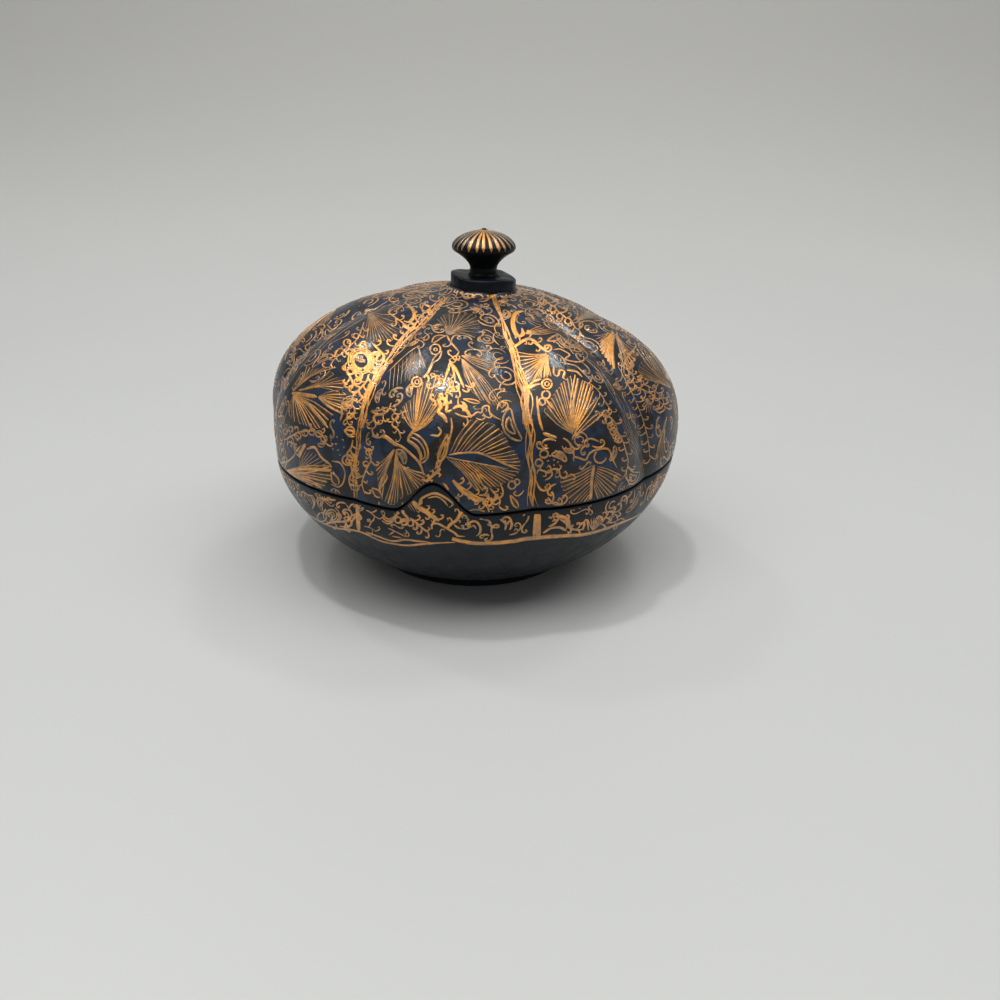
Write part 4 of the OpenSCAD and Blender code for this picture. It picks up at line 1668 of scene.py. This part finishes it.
ends = VALLEYS + [VALLEYS[0] + 360]
front = {key: list(strokes) for key, strokes in gold.items()}
for lobe, source, mirrored in COPIES:
    start, width = ends[lobe], ends[lobe + 1] - ends[lobe]
    old, old_width = ends[source], ends[source + 1] - ends[source]
    for (part, layer), strokes in front.items():
        for points, half, tone in strokes:
            turn, angle = chart(points)
            if not old - MARGIN < float(np.median(turn)) < old + old_width + MARGIN:
                continue
            share = (turn - old) / old_width
            if mirrored:
                share = 1 - share
            new_turn = start + share * width
            if float(np.median(new_turn)) < HIDDEN_FROM[part]:
                continue
            if lobe == 7 and new_turn.max() > LAST_TURN:
                continue
            keep_stroke(part, layer, on_shell(new_turn, angle), half, tone)
print("strokes with the far lobes:", {key: len(value) for key, value in gold.items()})


# %% Small curls in the bare places
TOO_FULL = 0.2  # a figure is left out when more than this share of it would cross paint
BAND_LOW, BAND_HIGH = 28.5, 33.5  # heights between which the bowl's band is filled, in mm
LID_LOW, LID_HIGH = -0.12, 1.42  # section angles between which the lid is filled, in radians
NUDGE = 0.01  # radians, a small step up the section that gives its length per radian
LEAST_R = 9  # mm, no turn is reckoned at a smaller radius, so that figures don't wind up


def small_figure(size):
    """Strokes of one small figure about its middle, in mm."""
    kind, heading, hand = dice.random(), dice.uniform(0, 360), dice.choice((1, -1))
    if kind < 0.35:
        return [rolled(size * 0.4, heading, hand), rolled(size * 0.4, heading + 180, hand)]
    if kind < 0.6:
        return [rolled(size * 0.55, heading, hand), rolled(size * 0.35, heading + 15, hand)]
    if kind < 0.8:
        turn = np.radians(heading + np.linspace(0, 300, 13))
        circle = np.c_[np.cos(turn), np.sin(turn)]
        return [circle * size * 0.5, circle * size * 0.24]
    way = np.array([math.cos(heading * degree), math.sin(heading * degree)])
    side = np.array([-way[1], way[0]])
    turn = np.linspace(0, 2 * math.pi, 15)[:, None]
    aside = np.sin(turn) * 0.28 + np.cos(turn) ** 2 * 0.3
    loop = way * np.cos(turn) * size * 0.75 + side * aside * size
    return [loop, loop * 0.5]


def fill(part, tries, sizes, low, high, tone):
    """Tries small figures all round between two section angles, and keeps those with room."""
    kept = 0
    for size in sizes:
        for _ in range(tries):
            turn, angle = dice.uniform(-180, 180), dice.uniform(low, high)
            figure = [on_shell_patch(turn, angle, mark) for mark in small_figure(size)]
            spots = cells(np.concatenate(figure))
            if sum(spot in taken for spot in spots) > TOO_FULL * len(spots):
                continue
            width = dice.uniform(1.0, 1.6) * PX
            for points in figure:
                half = tapered(len(points), width, (0.5, 0.5))
                keep_stroke(part, "scrollwork", points, half, tone)
            kept += 1
    print(f"{part}: {kept} small figures")


def on_shell_patch(turn, angle, marks):
    """Marks in mm about a place on the shell, as points on it."""
    here, up = on_shell(turn, np.array([angle, angle + NUDGE]))
    across = marks[:, 0] / max(math.hypot(here[0], here[1]), LEAST_R) / degree
    along_section = marks[:, 1] / (np.linalg.norm(up - here) / NUDGE)
    return on_shell(turn + across, angle + along_section)


fill("lid", 1300, (5.6, 4.4, 3.4, 2.6), LID_LOW, LID_HIGH, 0.3)
band = [angle_at(height, LACQUER, SIZES) for height in (BAND_LOW, BAND_HIGH)]
fill("bowl", 400, (4.4, 3.4, 2.6), *band, 0.45)
for key, strokes in gold.items():
    print(key, len(strokes), "strokes,", sum(len(points) for points, _, _ in strokes), "points")

# %% Gold rays on the knob
RAY_COUNT, OVER = 26, 0.78  # a ray goes over the cap's shoulder at this share of its length
knob_rays = []
for k in range(RAY_COUNT):
    turn = (k + dice.uniform(-0.12, 0.12)) * math.tau / RAY_COUNT
    share = np.linspace(0, 1, 18)
    over = np.maximum(share - OVER, 0) / (1 - OVER)
    rim_r, rim_z = rim_at(RIM_HIGH - 50 * over * dice.uniform(0.8, 1.1))
    dome = 1.0 + (CAP_R - 1.0) * np.minimum(share / OVER, 1)
    r, z = np.where(share > OVER, rim_r, dome), np.where(share > OVER, rim_z, cap_z(dome))
    points = np.c_[KNOB_X + r * math.sin(turn), -r * math.cos(turn), z]
    # The rays are painted brighter and a little broader where the knob faces the front, towards the
    # lamps and the camera, and duller round its sides: a painted highlight and a painted shade.
    kept = max(math.cos(turn), 0)
    broad = np.interp(share, (0, 0.4, 0.82, 1), (0.1, 0.28, 0.42, 0.03))
    half = broad * (0.7 + 0.35 * kept) * dice.uniform(0.85, 1.1)
    knob_rays.append((points, half, 1.1 * kept**2 - 0.4 + dice.uniform(-0.15, 0.15)))
print("knob:", len(knob_rays), "rays")

# %% Brushing it on
# How far apart the points of a layer's strokes are, and how high the two paints stand, in mm.
STEPS = {"leaf_fans": 1.0, "leaf_glaze": 1.5, "scrollwork": 0.6, "valley_lines": 0.8, "border": 0.8}
GLAZE_HEIGHT, GOLD_HEIGHT = 0.03, 0.08
rays_piece = brush_on("knob_rays", knob_rays, knob, GOLD_HEIGHT, 0.5, gilding)
painted = [(rays_piece, "lid", "gilding")]  # each piece with its part and its slot
for (part, layer), strokes in gold.items():
    surface = lid_shell if part == "lid" else bowl_shell
    paint, height, slot = gilding, GOLD_HEIGHT, "gilding"
    if layer == "leaf_glaze":
        paint, height, slot = leaf_glaze, GLAZE_HEIGHT, part + "_lacquer"
    sides = {"": strokes}
    if layer == "scrollwork":
        sides = {
            "_front": [mark for mark in strokes if mark[0][0, 1] < 0],
            "_back": [mark for mark in strokes if mark[0][0, 1] >= 0],
        }
    for side, marks in sides.items():
        name = f"{part}_{layer}{side}"
        painted.append((brush_on(name, marks, surface, height, STEPS[layer], paint), part, slot))
print(len(painted), "painted pieces")

# %% [markdown]
# ## Stage and light
# The floor and the backdrop are one pale sheet that curves up behind the box. A broad soft
# lamp hangs overhead, and weaker ones stand behind, as in a small light tent. The glint lamps
# add the small bright lights in the varnish, as bare bulbs would, and hardly light its colours.


# %% Floor and lamps
# Everything here is in metres: how far the flat floor reaches to the front and the back, half
# its width, the depth and height of the curve behind it, and the top of the backdrop.
FLOOR_FRONT, FLOOR_BACK, FLOOR_HALF = -1.6, 0.25, 2.5
CURVE_DEPTH, CURVE_HEIGHT, BACKDROP_TOP = 1.1, 0.35, 2.2
FLOOR_DARK, FLOOR_LIGHT = (0.62, 0.63, 0.615), (0.65, 0.66, 0.645)
BACKDROP = (0.76, 0.755, 0.725)
LAMPS_AIM = Vector((0, 0, 0.05))


def stage_sheet():
    """The floor and the backdrop, one pale sheet that is a little warmer further back."""
    outline = [(FLOOR_FRONT, 0), (FLOOR_BACK, 0)]
    for step in range(1, 17):
        a = step / 16 * math.pi / 2
        high = CURVE_HEIGHT - CURVE_HEIGHT * math.cos(a)
        outline.append((FLOOR_BACK + CURVE_DEPTH * math.sin(a), high))
    outline.append((FLOOR_BACK + CURVE_DEPTH, BACKDROP_TOP))
    mesh = bpy.data.meshes.new("floor")
    points = [(x, y, z) for y, z in outline for x in (-FLOOR_HALF, FLOOR_HALF)]
    faces = [(i, i + 1, i + 3, i + 2) for i in range(0, len(points) - 2, 2)]
    mesh.from_pydata(points, [], faces)
    mesh.polygons.foreach_set("use_smooth", [True] * len(faces))
    floor = bpy.data.objects.new("floor", mesh)
    bpy.context.scene.collection.objects.link(floor)
    material, tree, shader = new_material("pale_floor", Roughness=0.5)
    mottle = ramp(noise(tree, 3, seed=9), 0.3, 0.7)
    near = blend(tree, mottle, FLOOR_DARK, FLOOR_LIGHT)
    place = add(tree, "ShaderNodeTexCoord").outputs["Object"]
    depth = Field(tree, add(tree, "ShaderNodeSeparateXYZ", {0: place}).outputs["Y"])
    colour = blend(tree, ramp(depth, 0.15, 1.1), near, BACKDROP)
    tree.links.new(colour, shader.inputs["Base Color"])
    mesh.materials.append(material)


def lamp(name, place, size, watts, wide=1.0, glint=False):
    """An oval lamp aimed at the box, its width given as a multiple of its size."""
    light = bpy.data.lights.new(name, "AREA")
    light.shape, light.size, light.size_y, light.energy = "ELLIPSE", size * wide, size, watts
    holder = bpy.data.objects.new(name, light)
    holder.location = place
    holder.rotation_euler = (Vector(place) - LAMPS_AIM).to_track_quat("Z", "Y").to_euler()
    holder.visible_diffuse = not glint
    bpy.context.scene.collection.objects.link(holder)


stage_sheet()
lamp("tent_roof", (0.07, -0.30, 1.2), 0.9, 13.2, wide=3.1)
lamp("overhead", (-0.20, -0.07, 1.22), 0.09, 2.5)
lamp("left_back", (-0.52, 0.42, 0.95), 0.10, 0.7)
lamp("right_back", (0.40, 0.42, 1.08), 0.12, 1.2, wide=2.6)
lamp("left_glint", (-0.23, -0.065, 1.22), 0.07, 3.5, glint=True)
lamp("left_back_glint", (-0.43, 0.34, 0.95), 0.12, 2.5, glint=True)
lamp("right_back_glint", (0.36, 0.40, 1.08), 0.06, 2.0, wide=5.0, glint=True)
world = bpy.data.worlds.new("tent")
bpy.context.scene.world = world
world.use_nodes = True
background = world.node_tree.nodes["Background"]
background.inputs["Color"].default_value = (1.0, 1.0, 0.985, 1)
background.inputs["Strength"].default_value = 0.18
bpy.context.scene.view_settings.view_transform = "Standard"
print(len(bpy.data.lights), "lamps")

# %% Bodies and sharp edges
SHARP_FROM = 40 * degree  # faces that meet at more than this show an edge
for piece, body, node, slot in (
    (lid_shell, "lid_body", "lid", "lid_lacquer"),
    (bowl_shell, "bowl_body", "bowl", "bowl_lacquer"),
    (knob, "lid_body", "knob", "knob_wood"),
    (disc, "lid_body", "crown_disc", "disc_lacquer"),
):
    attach(piece, body)
    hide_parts(node)
    piece.data.set_sharp_from_angle(angle=SHARP_FROM)
for piece, part, slot in painted:
    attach(piece, part + "_body")
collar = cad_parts["locating_collar"]
collar.data.materials.clear()
collar.data.materials.append(inside_lacquer)
